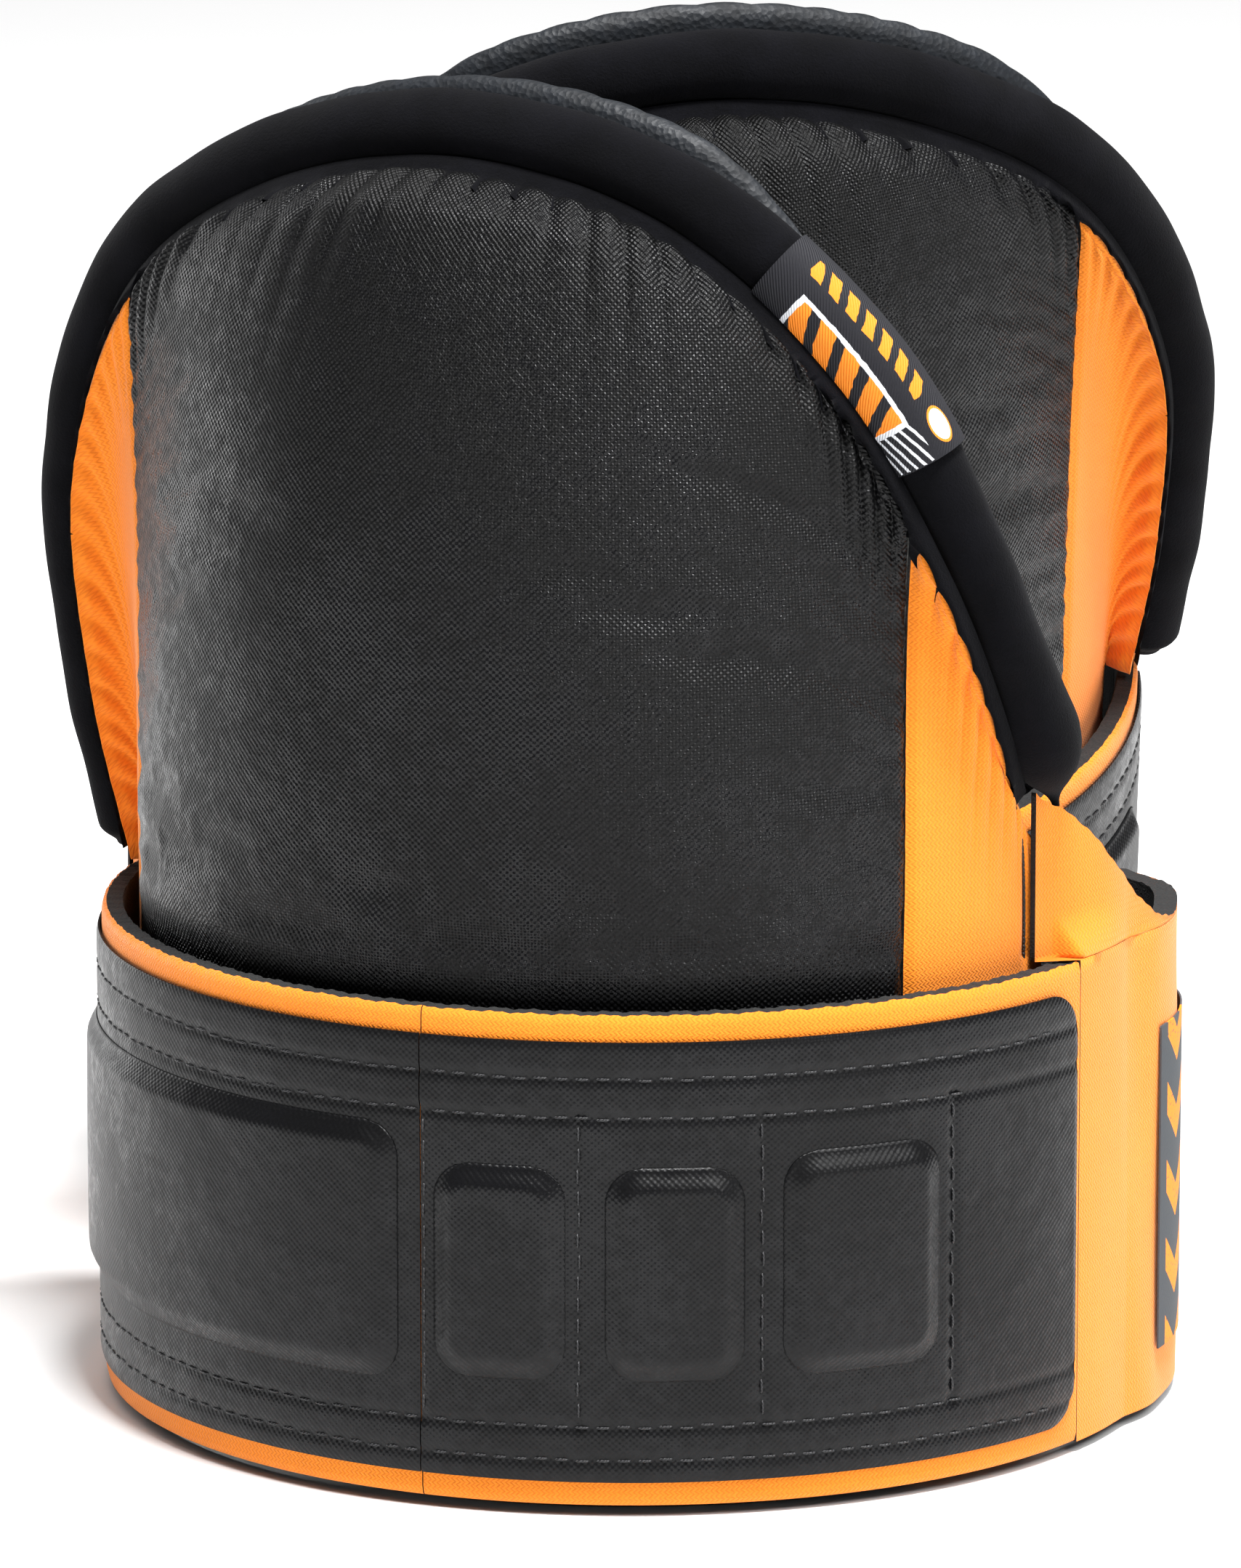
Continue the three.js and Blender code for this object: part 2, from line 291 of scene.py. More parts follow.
def ripple(x, pitch, seed):
    """Uneven puffs along x: rounded ridges with sharp valleys whose pitch and height wander."""
    rng = np.random.default_rng(seed)
    wander = sum(
        rng.uniform(0.5, 1) * np.sin(x * f / pitch + rng.uniform(0, 6.3)) for f in (0.31, 0.53, 0.87)
    )
    height = 0.72 + 0.28 * np.sin(x * 0.21 / pitch + rng.uniform(0, 6.3)) * np.sin(x * 0.73 / pitch)
    return height * np.abs(np.sin(math.pi * x / pitch + 0.8 * wander)) ** 0.75


def lengths(grid, axis):
    """Running length along one way of a grid."""
    step = np.linalg.norm(np.diff(grid, axis=axis), axis=-1)
    zero = np.zeros_like(np.take(step, [0], axis=axis))
    return np.concatenate([zero, np.cumsum(step, axis=axis)], axis=axis)


# ---------------------------------------------------------------- meshes


def linked(name, data):
    """A new object in the scene."""
    made = bpy.data.objects.new(name, data)
    bpy.context.scene.collection.objects.link(made)
    return made


def own(name, side, vertices, faces, uv, which, materials):
    """A new piece: millimetres in the pad's frame, faces pointing out on the left pad."""
    points = place(vertices, side)
    faces = [np.asarray(f) for f in faces if len(f)]
    if side == "right":
        faces = [f[:, ::-1] for f in faces]
    title = f"{side}_{name}" + ("_sewn" if f"{side}_{name}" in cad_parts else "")
    mesh = bpy.data.meshes.new(title)
    mesh.from_pydata(points.tolist(), [], [q for f in faces for q in f.tolist()])
    corner = np.empty(len(mesh.loops), int)
    mesh.loops.foreach_get("vertex_index", corner)
    layer = mesh.uv_layers.new(name="cloth")
    layer.data.foreach_set("uv", (np.asarray(uv, float)[corner] * 0.001).ravel())
    for m in materials:
        mesh.materials.append(m)
    if which is not None:
        mesh.polygons.foreach_set("material_index", np.asarray(which, int))
    mesh.polygons.foreach_set("use_smooth", np.full(len(mesh.polygons), True))
    mesh.update()
    return linked(title, mesh)


def grid_faces(m, n):
    """Quads of an m by n grid, and its border as a ring of vertex numbers, anticlockwise from outside."""
    k = np.arange(m * n).reshape(m, n)
    quads = np.stack([k[:-1, :-1], k[1:, :-1], k[1:, 1:], k[:-1, 1:]], -1).reshape(-1, 4)
    ring = np.concatenate([k[:-1, 0], k[-1, :-1], k[:0:-1, -1], k[0, :0:-1]])
    return quads, ring


def slab(name, side, outer, inner, uv, materials, split=True):
    """A closed sheet between two grids. Its outside, inside and cut edge take materials 0, 1 and 2."""
    m, n = outer.shape[:2]
    front, ring = grid_faces(m, n)
    back = front[:, ::-1] + m * n
    ahead = np.roll(ring, -1)
    edge = np.stack([ring, ring + m * n, ahead + m * n, ahead], -1)
    which = np.repeat([0, 1, 2], [len(front), len(back), len(edge)])
    vertices = np.concatenate([outer.reshape(-1, 3), inner.reshape(-1, 3)])
    uvs = np.concatenate([uv.reshape(-1, 2)] * 2)
    piece = own(name, side, vertices, [front, back, edge], uvs, which, materials)
    if split:
        crease(piece, edge, m * n)
    return piece


def crease(piece, edge, half):
    """Keeps the cut edges crisp under smooth shading."""
    mesh = piece.data
    pairs = np.empty(len(mesh.edges) * 2, int)
    mesh.edges.foreach_get("vertices", pairs)
    pairs = np.sort(pairs.reshape(-1, 2), 1)
    ring = np.unique(edge)
    on = np.isin(pairs, ring).all(1) & ((pairs[:, 1] - pairs[:, 0]) != half)
    sharp = on & ((pairs < half).all(1) | (pairs >= half).all(1))
    border = set(map(tuple, np.sort(np.concatenate([edge[:, [0, 3]], edge[:, [1, 2]]]), 1).tolist()))
    member = np.array([tuple(p) in border for p in pairs.tolist()]) & sharp
    layer = mesh.attributes.get("sharp_edge") or mesh.attributes.new("sharp_edge", "BOOLEAN", "EDGE")
    layer.data.foreach_set("value", member)


def rings(turn, across, out):
    """Unit circles about a line: cos across + sin out."""
    return np.cos(turn)[None, :, None] * across[:, None] + np.sin(turn)[None, :, None] * out[:, None]


ROLL_SIDES = 30


def tube(name, side, centre, radius, across, out, materials):
    """A closed tube: each section is centre + radius (cos across + sin out), its ends closed to a point."""
    n, sides = len(centre), ROLL_SIDES
    turn = np.linspace(0, 2 * math.pi, sides, endpoint=False)
    ring = rings(turn, across, out)
    body = centre[:, None] + ring * radius[..., None]
    k = np.arange(n * sides).reshape(n, sides)
    nxt = np.roll(k, -1, 1)
    quads = np.stack([k[:-1], k[1:], nxt[1:], nxt[:-1]], -1).reshape(-1, 4)
    first = np.stack([np.full(sides, n * sides), k[0], nxt[0]], -1)
    last = np.stack([np.full(sides, n * sides + 1), nxt[-1], k[-1]], -1)
    vertices = np.concatenate([body.reshape(-1, 3), centre[:1], centre[-1:]])
    run = lengths(centre[:, None], 0)[:, 0]
    uv = stack(run[:, None], turn[None] * float(np.mean(radius))).reshape(-1, 2)
    uv = np.concatenate([uv, [[0, 0], [run[-1], 0]]])
    hand = np.einsum("ij,ij->i", np.cross(across, out), np.gradient(centre, axis=0)).mean()
    faces = [quads, first, last]
    if hand > 0:
        faces = [f[:, ::-1] for f in faces]
    return own(name, side, vertices, faces, uv, None, materials)


# Place along a stitch, thickness and height of each of its rings
THREAD_RINGS = (
    (-0.5, 0.25, -0.9),
    (-0.38, 0.85, -0.2),
    (-0.15, 1, 0.25),
    (0.15, 1, 0.25),
    (0.38, 0.85, -0.2),
    (0.5, 0.25, -0.9),
)


def stitches(name, side, at, along, up, length, width, material):
    """Thread loops: each is six rings of six points, thin and sunk at its two ends."""
    rings = np.array(THREAD_RINGS)
    turn = np.arange(6) * math.pi / 3
    side_way = np.cross(along, up)
    n = len(at)
    x = rings[:, 0][:, None] * length + 0 * turn
    y = rings[:, 1][:, None] * np.cos(turn) * width / 2
    z = rings[:, 1][:, None] * np.sin(turn) * width / 2 + rings[:, 2][:, None] * width / 2
    body = (
        at[:, None, None]
        + x[None, ..., None] * along[:, None, None]
        + y[None, ..., None] * side_way[:, None, None]
        + z[None, ..., None] * up[:, None, None]
    )
    k = np.arange(36).reshape(6, 6)
    nxt = np.roll(k, -1, 1)
    quads = np.stack([k[1:], nxt[1:], nxt[:-1], k[:-1]], -1).reshape(-1, 4)
    ends = np.stack([k[0], k[-1, ::-1]])
    base = (36 * np.arange(n))[:, None, None]
    faces = [(quads[None] + base).reshape(-1, 4), (ends[None] + base).reshape(-1, 6)]
    uv = np.tile(stack(x, y).reshape(-1, 2), (n, 1))
    return own(name, side, body.reshape(-1, 3), faces, uv, None, [material])


# Parts of the front strap and the line they hinge on: body, the body before it, from and to
BENDS = {"strap_inner": ("pad", (-88.75, -74)), "strap_tip": ("strap_inner", (0.9, 16))}


def finish_piece(piece, body):
    """Parents a piece to the body it moves with, or bakes it in place if its body is listed in BENDS, and hides the
    solid it stands for, if there is one.
    """
    side = piece.name.split("_")[0]
    if body in BENDS:
        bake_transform(piece)
    else:
        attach(piece, f"{side}_{body}")
    solid = piece.name.removesuffix("_sewn")
    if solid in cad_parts:
        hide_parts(solid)
    return piece


def sew(name, side, body, slot, outer, inner, uv, *skins, split=True):
    """A finished slab. One skin goes all over it, or three go outside, inside and on its cut edge."""
    materials = [finish(skin) for skin in (skins * 3)[:3]]
    return finish_piece(slab(name, side, outer, inner, uv, materials, split), body)


# ---------------------------------------------------------------- finishes


def opaque(value):
    """A colour with its alpha; a socket stays as it is."""
    return (*value, 1) if isinstance(value, tuple) else value


def tint(rgb, factor=1.0):
    return tuple(factor * c for c in rgb)


class Surface:
    """A material's nodes, laid in order. Each call adds one node and gives back its output."""

    def __init__(self, name):
        self.material = bpy.data.materials.new(name)
        self.material.use_nodes = True
        self.tree = self.material.node_tree
        self.shader = self.tree.nodes["Principled BSDF"]

    def node(self, kind, inputs, output=0, **settings):
        n = self.tree.nodes.new("ShaderNode" + kind)
        for key, value in settings.items():
            setattr(n, key, value)
        for key, value in inputs.items():
            self.put(n.inputs[key], value)
        return n.outputs[output]

    def put(self, socket, value):
        if isinstance(value, bpy.types.NodeSocket):
            self.tree.links.new(value, socket)
        else:
            socket.default_value = value

    def math(self, operation, *values):
        return self.node("Math", dict(enumerate(values)), operation=operation)

    add = partialmethod(math, "ADD")
    mul = partialmethod(math, "MULTIPLY")
    sub = partialmethod(math, "SUBTRACT")
    less = partialmethod(math, "LESS_THAN")
    more = partialmethod(math, "GREATER_THAN")
    sine = partialmethod(math, "SINE")
    fract = partialmethod(math, "FRACT")

    def mix(self, amount, a, b):
        return self.node("Mix", {0: amount, 6: opaque(a), 7: opaque(b)}, 2, data_type="RGBA")

    def fade(self, value, low, high, to_low=0.0, to_high=1.0):
        return self.node("MapRange", {0: value, 1: low, 2: high, 3: to_low, 4: to_high})

    def noise(self, where, scale, detail=3.0, rough=0.5):
        return self.node("TexNoise", {"Vector": where, "Scale": scale, "Detail": detail, "Roughness": rough})

    def where(self):
        """The piece's own place, metres."""
        return self.node("TexCoord", {}, "Object")

    def cloth(self):
        """The piece's own flat coordinates, metres along the cloth."""
        uv = self.node("TexCoord", {}, "UV")
        split = self.tree.nodes.new("ShaderNodeSeparateXYZ")
        self.tree.links.new(uv, split.inputs[0])
        return uv, split.outputs[0], split.outputs[1]

    def wave(self, along, pitch, shift=0.0):
        return self.sine(self.add(self.mul(along, 2 * math.pi / pitch), shift))

    def weave(self, u, v, across=0.0012, up=0.0011):
        return self.mul(self.wave(u, across), self.wave(v, up))

    def bump(self, height, distance, strength=1.0, under=None):
        inputs = {"Height": height, "Distance": distance, "Strength": strength}
        if under is not None:
            inputs["Normal"] = under
        return self.node("Bump", inputs)

    def done(self, base, roughness, normal=None, **fixed):
        self.put(self.shader.inputs["Base Color"], opaque(base))
        self.put(self.shader.inputs["Roughness"], roughness)
        if normal is not None:
            self.put(self.shader.inputs["Normal"], normal)
        for key, value in fixed.items():
            self.shader.inputs[key.replace("_", " ")].default_value = value
        return self.material


def finish(name):
    """Makes a finish the first time it is asked for."""
    return bpy.data.materials.get(name) or FINISHES[name](name)


def coated_cloth(name):
    """Canvas under a rubbery coating: a fine over-and-under weave, with worn patches that are smoother and painted
    lighter; the lighter colour there is painted sheen.
    """
    s = Surface(name)
    uv, u, v = s.cloth()
    where = s.where()
    weave = s.weave(u, v)
    grain = s.noise(uv, 1300, 3, 0.6)
    blotch = s.noise(where, 38, 4, 0.6)
    speck = s.noise(where, 420, 3, 0.65)
    wear_and_sheen = s.fade(s.add(blotch, s.mul(s.sub(speck, 0.5), 0.9)), 0.40, 0.66)
    height = s.add(weave, s.mul(grain, 2.6))
    first = s.bump(height, 0.00011, 0.9)
    normal = s.bump(s.noise(where, 150, 2), 0.0010, 0.35, first)
    # The worn, smoother patches are also painted lighter: that lighter colour is painted sheen.
    base = s.mix(wear_and_sheen, tint(colours().coated, 0.5), tint(colours().coated, 2.1))
    rough = s.fade(wear_and_sheen, 0, 1, 0.46, 0.22)
    return s.done(base, rough, normal, Specular_IOR_Level=0.2)


def strap_coated(name):
    """The same coating on the strap: smoother, with a broader soft shine, and worn patches whose lighter colour is
    painted sheen.
    """
    s = Surface(name)
    uv, u, v = s.cloth()
    where = s.where()
    weave = s.weave(u, v)
    blotch = s.noise(where, 30, 4, 0.6)
    speck = s.noise(where, 500, 3, 0.65)
    wear_and_sheen = s.fade(s.add(blotch, s.mul(s.sub(speck, 0.5), 0.7)), 0.42, 0.62)
    first = s.bump(s.add(weave, s.noise(uv, 2600, 2)), 0.00005, 0.6)
    normal = s.bump(s.noise(where, 120, 3), 0.0012, 0.3, first)
    # The worn, glossier patches are also painted lighter: that lighter colour is painted sheen.
    base = s.mix(wear_and_sheen, tint(colours().coated, 1.2), tint(colours().coated, 2.4))
    return s.done(base, s.fade(wear_and_sheen, 0, 1, 0.42, 0.27), normal, Specular_IOR_Level=0.2)


LOOP_PITCH = 0.0009  # metres


def orange_knit(name):
    """Jersey on neoprene: rows of small loops, faintly uneven in colour, with a soft nap."""
    s = Surface(name)
    uv, u, v = s.cloth()
    bend = s.wave(v, 0.0011)
    loops = s.math("ABSOLUTE", s.sine(s.add(s.mul(u, math.pi / LOOP_PITCH), s.mul(bend, 0.9))))
    fuzz = s.noise(uv, 1800, 3, 0.6)
    patch = s.noise(uv, 30, 3)
    shade = s.add(s.mul(loops, 0.22), s.add(s.mul(fuzz, 0.22), s.mul(patch, 0.25)))
    o = colours().orange
    base = s.mix(s.fade(shade, 0.12, 0.55), (o[0] * 0.78, o[1] * 0.66, o[2] * 0.5), (o[0], o[1] * 1.06, o[2]))
    normal = s.bump(s.add(loops, fuzz), 0.00012, 0.7)
    return s.done(base, 0.85, normal, Specular_IOR_Level=0.25, Sheen_Weight=0.18, Sheen_Roughness=0.5)


def brushed_binding(name):
    """Brushed black knit: nap that swallows light, with lint-fine unevenness."""
    s = Surface(name)
    where = s.where()
    nap = s.noise(where, 2200, 3, 0.7)
    drift = s.noise(where, 90, 3)
    b = colours().binding
    base = s.mix(s.fade(s.add(nap, drift), 0.8, 1.3), tint(b), tint(b, 2.4))
    normal = s.bump(nap, 0.0003, 0.7, s.bump(drift, 0.001, 0.4))
    return s.done(base, 0.95, normal, Specular_IOR_Level=0.08, Sheen_Weight=0.02, Sheen_Roughness=0.5)


def cut_core(name):
    """Cut neoprene: closed black cells, dull."""
    s = Surface(name)
    where = s.where()
    cells = s.node("TexVoronoi", {"Vector": where, "Scale": 2400.0}, "Distance")
    c = colours().core
    base = s.mix(cells, tint(c), tint(c, 2.2))
    return s.done(base, 0.9, s.bump(cells, 0.0002, 0.7), Specular_IOR_Level=0.3)


def soft_lining(name):
    """Leather-look lining: pebbled grain with fine creases."""
    s = Surface(name)
    where = s.where()
    pebble = s.node("TexVoronoi", {"Vector": where, "Scale": 950.0}, "Distance")
    crease = s.noise(where, 260, 4, 0.6)
    c = colours().leather
    base = s.mix(s.fade(crease, 0.3, 0.7), tint(c, 0.7), tint(c, 1.5))
    height = s.add(s.mul(pebble, 0.8), crease)
    return s.done(base, s.fade(crease, 0.3, 0.7, 0.62, 0.48), s.bump(height, 0.0004, 0.55), Specular_IOR_Level=0.25)


def open_foam(name):
    """Open-cell foam."""
    s = Surface(name)
    where = s.where()
    cells = s.node("TexVoronoi", {"Vector": where, "Scale": 700.0}, "Distance")
    base = s.mix(cells, (0.12, 0.12, 0.115), (0.3, 0.3, 0.29))
    return s.done(base, 0.95, s.bump(cells, 0.0008, 1.0))


def hook_tape(name):
    """Hook-and-loop tape: a close pile of tiny bristles."""
    s = Surface(name)
    uv, u, v = s.cloth()
    pile = s.weave(u, v, 0.0014, 0.0012)
    fuzz = s.noise(uv, 3000, 2)
    height = s.add(pile, fuzz)
    base = s.mix(s.fade(height, -0.4, 1.3), (0.003, 0.003, 0.004), (0.02, 0.02, 0.022))
    return s.done(base, 0.8, s.bump(height, 0.0006, 1.0))


def sewing_thread(name):
    """Black bonded thread with its twist."""
    s = Surface(name)
    _, u, v = s.cloth()
    twist = s.sine(s.add(s.mul(u, 9000.0), s.mul(v, 9000.0)))
    base = s.mix(s.fade(twist, -1, 1), (0.004, 0.004, 0.005), (0.02, 0.02, 0.022))
    return s.done(base, 0.5, s.bump(twist, 0.00008, 0.6))


def label_tape(name):
    """Woven tape round the rim: a fine black twill with a plain orange and white pattern of bars, chevrons
    and a spot, none of it lettering. u runs along the rim, v round it."""
    s = Surface(name)
    uv, u, v = s.cloth()

    def band(value, low, high):
        inside = s.more(value, low)
        return s.mul(inside, s.less(value, high))

    twill = s.wave(s.add(u, v), 0.0007)
    fuzz = s.noise(uv, 2200, 2)
    wobble = s.mul(s.sub(s.noise(uv, 500, 2), 0.5), 0.0006)
    uu, vv = s.add(u, wobble), s.add(v, wobble)
    leaning = s.add(uu, s.mul(vv, 0.55))
    bars = s.less(s.fract(s.mul(leaning, 1 / 0.0062)), 0.62)
    main = s.mul(band(vv, 0.0165, 0.0232), band(uu, 0.008, 0.034))
    border = s.mul(band(vv, 0.0157, 0.0240), band(uu, 0.0070, 0.0350))
    second = s.mul(band(vv, 0.0272, 0.0310), band(uu, 0.005, 0.032))
    fine = s.less(s.fract(s.mul(leaning, 1 / 0.0041)), 0.6)
    lines = s.less(s.fract(s.mul(s.sub(vv, s.mul(uu, 0.35)), 1 / 0.0016)), 0.34)
    streaks = s.mul(lines, s.mul(band(uu, 0.035, 0.042), band(vv, 0.0158, 0.0250)))
    du, dv = s.sub(u, 0.0375), s.sub(v, 0.0290)
    spot = s.add(s.mul(du, du), s.mul(s.mul(dv, dv), 2.2))
    black, white, orange = (0.0055, 0.0055, 0.009), (0.72, 0.74, 0.78), (0.92, 0.24, 0.012)
    base = s.mix(s.mul(border, s.sub(1.0, s.mul(main, s.sub(1.0, bars)))), black, white)
    base = s.mix(s.mul(main, s.sub(1.0, bars)), base, black)
    base = s.mix(s.mul(main, bars), base, orange)
    base = s.mix(s.mul(second, fine), base, orange)
    base = s.mix(streaks, base, white)
    base = s.mix(s.less(spot, 0.0000105), base, orange)
    base = s.mix(s.less(spot, 0.0000075), base, (0.85, 0.85, 0.84))
    height = s.add(twill, fuzz)
    return s.done(base, 0.7, s.bump(height, 0.00008, 0.8), Specular_IOR_Level=0.35)


def printed_patch(name):
    """Screen print on the wing's knit: a dark grey field with plain orange chevrons. v runs up it."""
    s = Surface(name)
    uv, u, v = s.cloth()
    fuzz = s.noise(uv, 1500, 3)
    zig = s.math("PINGPONG", u, 0.010)
    step = s.fract(s.mul(s.add(v, s.mul(zig, 0.9)), 1 / 0.0145))
    mark = s.mul(s.less(step, 0.42), s.mul(s.more(u, 0.0035), s.less(u, 0.0175)))
    wear_and_sheen = s.fade(fuzz, 0.3, 0.42)
    base = s.mix(s.mul(mark, wear_and_sheen), tint(colours().printed), tint(colours().orange))
    return s.done(base, 0.72, s.bump(fuzz, 0.0001, 0.6), Specular_IOR_Level=0.3)


def plain_floor(name):
    """Smooth pale floor, faintly uneven."""
    s = Surface(name)
    where = s.where()
    drift = s.noise(where, 3, 2)
    f = colours().floor
    return s.done(s.mix(drift, tint(f, 0.985), tint(f)), 0.75, Specular_IOR_Level=0.2)


FINISHES = {
    "coated_face": coated_cloth,
    "coated_strap": strap_coated,
    "orange_knit": orange_knit,
    "brushed_binding": brushed_binding,
    "cut_core": cut_core,
    "soft_lining": soft_lining,
    "open_foam": open_foam,
    "hook_tape": hook_tape,
    "sewing_thread": sewing_thread,
    "label_tape": label_tape,
    "printed_patch": printed_patch,
    "plain_floor": plain_floor,
}


class Step:
    """An operator that makes its pieces for one pad, then for the other."""

    def execute(self, context):
        for side in SIDES:
            self.make(sizes(), side)
        return {"FINISHED"}


# ---------------------------------------------------------------- cushion, rim and lining


def columns(from_angle, to_angle, count):
    return np.linspace(column_of(from_angle), column_of(to_angle), count)[:, None]


def face_rows(upright, dome):
    """Even rows up the shin part, then rows that close up towards the rim: s = 1 - (1 - w)^2."""
    w = np.linspace(0, 1, dome)
    return np.concatenate([np.linspace(-1, 0, upright, endpoint=False), 1 - (1 - w) ** 2])[None, :]


def face_uv(t, up):
    return stack(sizes().face_radius * np.radians(column_angle(t)), up)


def beside_rows(t, places):
    """Rows along the rim, each at its own distance across the face and out from it."""
    rows = [beside_rim(t, a + 0 * t, o + 0 * t) for a, o in places]
    return np.stack(rows, 1)


def rim_run(t):
    """Length along the rim, mm."""
    path = through(RIM_POINTS, (_TABLE_T + 1) / 2)
    run = np.concatenate([[0], np.cumsum(np.linalg.norm(np.diff(path, axis=0), axis=1))])
    return np.interp(t, _TABLE_T, run)


RIM_GATHERS = (7.4, 3)  # pitch, mm, and the seed of their unevenness
TAIL_SEAM = 74  # degrees


def puff(t, s):
    """How far the fabric stands out: puckers that fade down from the rim, short puckers along the two
    side seams, a dip at each seam, and a slow unevenness."""
    p = sizes()
    angle = column_angle(t)
    height = cushion_point(t, s, 0)[..., 2]
    down = edge_distance(t, s)
    long_fade = np.exp(-((down / (11 + 5 * np.sin(rim_run(t) * 0.11))) ** 1.4))
    out = p.gather * ripple(rim_run(t) + 0.05 * down, *RIM_GATHERS) * long_fade * (0.45 + 0.55 * ease(down / 3))
    for seam, pitch, seed, side in ((p.face_to, 6.3, 5, 1), (p.face_from, 6.8, 8, -1)):
        near = (seam - angle) * side * math.radians(p.face_radius)
        share = np.where(near > 0, 1.0, 0.35)
        near = np.abs(near)
        gathers = ripple(height + 0.12 * near, pitch, seed) * np.exp(-near / 7) * ease((height - 96) / 16)
        out = out + share * 0.62 * gathers - 0.85 * np.exp(-((near / 1.3) ** 2))
    beside = (angle - TAIL_SEAM) * math.radians(p.face_radius)
    out = out - 0.7 * np.exp(-((beside / 0.9) ** 2)) * (s > 0)
    slow = np.sin(angle * 0.09 + height * 0.021) * np.sin(angle * 0.05 - height * 0.033 + 2)
    return out + 0.35 * slow * ease(s / 0.2)


def resample(field, x):
    """Cubic samples down the first axis of a field, at fractional places x: Catmull-Rom weights on the
    four nearest rows."""
    n = len(field)
    i = np.clip(np.floor(x).astype(int), 0, n - 2)
    w = (x - i).reshape(-1, *[1] * (field.ndim - 1))
    a, b, c, d = (field[np.clip(i + k, 0, n - 1)] for k in (-1, 0, 1, 2))
    return b + 0.5 * w * (c - a + w * (2 * a - 5 * b + 4 * c - d + w * (3 * (b - c) + d - a)))


SIM_COLUMNS, SIM_ROWS, SIM_FRAMES = 120, 64, 22
SINK_LIMIT = 0.35  # farthest that the face fabric moves inward, mm


def swollen(from_angle, to_angle, count, dome):
    """How far the foam presses the face fabric out, mm, on the face panel's own grid. A sheet of the dome,
    cut a little large and sewn down along its four edges, is blown out by cloth simulation; its moves are
    eased to a limit and carried over to the finer grid."""
    p, scene = sizes(), bpy.context.scene
    t = columns(from_angle, to_angle, SIM_COLUMNS)
    s = 1 - (1 - np.linspace(0, 1, SIM_ROWS)[None, :]) ** 2
    rest = cushion_point(t, s, 0) * 0.001
    quads, ring = grid_faces(SIM_COLUMNS, SIM_ROWS)
    mesh = bpy.data.meshes.new("pressed_face")
    mesh.from_pydata(rest.reshape(-1, 3).tolist(), [], quads.tolist())
    sheet = linked("pressed_face", mesh)
    sheet.vertex_groups.new(name="sewn").add(ring.tolist(), 1.0, "REPLACE")
    cloth = sheet.modifiers.new("cloth", "CLOTH")
    for key, value in {
        "vertex_group_mass": "sewn",
        "quality": 6,
        "mass": 0.15,
        "tension_stiffness": 12,
        "compression_stiffness": 12,
        "shear_stiffness": 4,
        "bending_stiffness": 0.4,
        "shrink_min": -p.slack,
        "use_pressure": True,
        "uniform_pressure_force": p.pressure,
    }.items():
        setattr(cloth.settings, key, value)
    cloth.settings.effector_weights.gravity = 0
    cloth.collision_settings.use_collision = False
    cloth.point_cache.frame_start, cloth.point_cache.frame_end = 1, SIM_FRAMES
    for moment in range(1, SIM_FRAMES + 1):
        scene.frame_set(moment)
    final = sheet.evaluated_get(bpy.context.evaluated_depsgraph_get()).data
    points = np.empty(len(final.vertices) * 3)
    final.vertices.foreach_get("co", points)
    moved = (points.reshape(rest.shape) - rest) * 1000
    bpy.data.objects.remove(sheet)
    bpy.data.meshes.remove(mesh)
    scene.frame_set(1)
    square = normals(rest)
    proud = (moved * square).sum(-1, keepdims=True)
    limit = np.where(proud > 0, p.swell_limit, SINK_LIMIT)
    moved = square * limit * np.tanh(proud / limit)
    fine = resample(moved, np.linspace(0, SIM_COLUMNS - 1, count))
    fine = np.swapaxes(resample(np.swapaxes(fine, 0, 1), np.linspace(0, SIM_ROWS - 1, dome)), 0, 1)
    t, s = columns(from_angle, to_angle, count), face_rows(0, dome)
    fine = fine * ease((edge_distance(t, s) - 2) / 9)[..., None]
    return np.concatenate([np.zeros((count, UPRIGHT_ROWS, 3)), fine], 1)


UPRIGHT_ROWS = 26
# Where the panels' two sides go under the roll: mm across the face and out, from the roll's middle
TUCK_OUT = ((7.35, 6.1), (6.9, 4.7), (6.6, 3.1))
TUCK_IN = ((7.8, 5.5), (7.6, 4.3), (7.4, 3.0))
SIDE_END = 89.8  # degrees, the back edges of the side panels


def face_panel(name, side, from_angle, to_angle, count, dome, skin, pressed=0.0):
    """A face or side panel: the puffed surface, tucked in under the roll at its top."""
    p = sizes()
    t, s = columns(from_angle, to_angle, count), face_rows(UPRIGHT_ROWS, dome)
    outer = cushion_point(t, s, 0) + pressed
    outer = outer + normals(outer) * puff(t, s)[..., None] * ease((s[..., None] + 1) * 4)
    inner = cushion_point(t, s, p.cover)
    outer = np.concatenate([outer, beside_rows(t[:, 0], TUCK_OUT)], 1)
    inner = np.concatenate([inner, beside_rows(t[:, 0], TUCK_IN)], 1)
    uv = face_uv(t, lengths(outer, 1)) + (200, 10)
    slot = "coated_fabric" if skin == "coated_face" else "orange_neoprene"
    return sew(name, side, "pad", slot, outer, inner, uv, skin, "cut_core", "cut_core")


class KNEEPAD_OT_face(bpy.types.Operator):
    """Sew the coated kneeling face and the two orange side panels"""

    bl_idname = "knee_pads.face"
    bl_label = "Kneeling face and sides"

    def execute(self, context):
        p = sizes()
        span = (p.face_from + 0.3, p.face_to - 0.3, 330, 104)
        pressed = swollen(*span)
        for side in SIDES:
            cover = face_panel("kneeling_cover", side, *span, "coated_face", pressed)
            face_panel("inner_side_panel", side, -SIDE_END, p.face_from - 0.05, 96, 84, "orange_knit")
            face_panel("outer_side_panel", side, p.face_to + 0.05, SIDE_END, 130, 84, "orange_knit")
        return {"FINISHED"}


BASE_THICK = 1.5


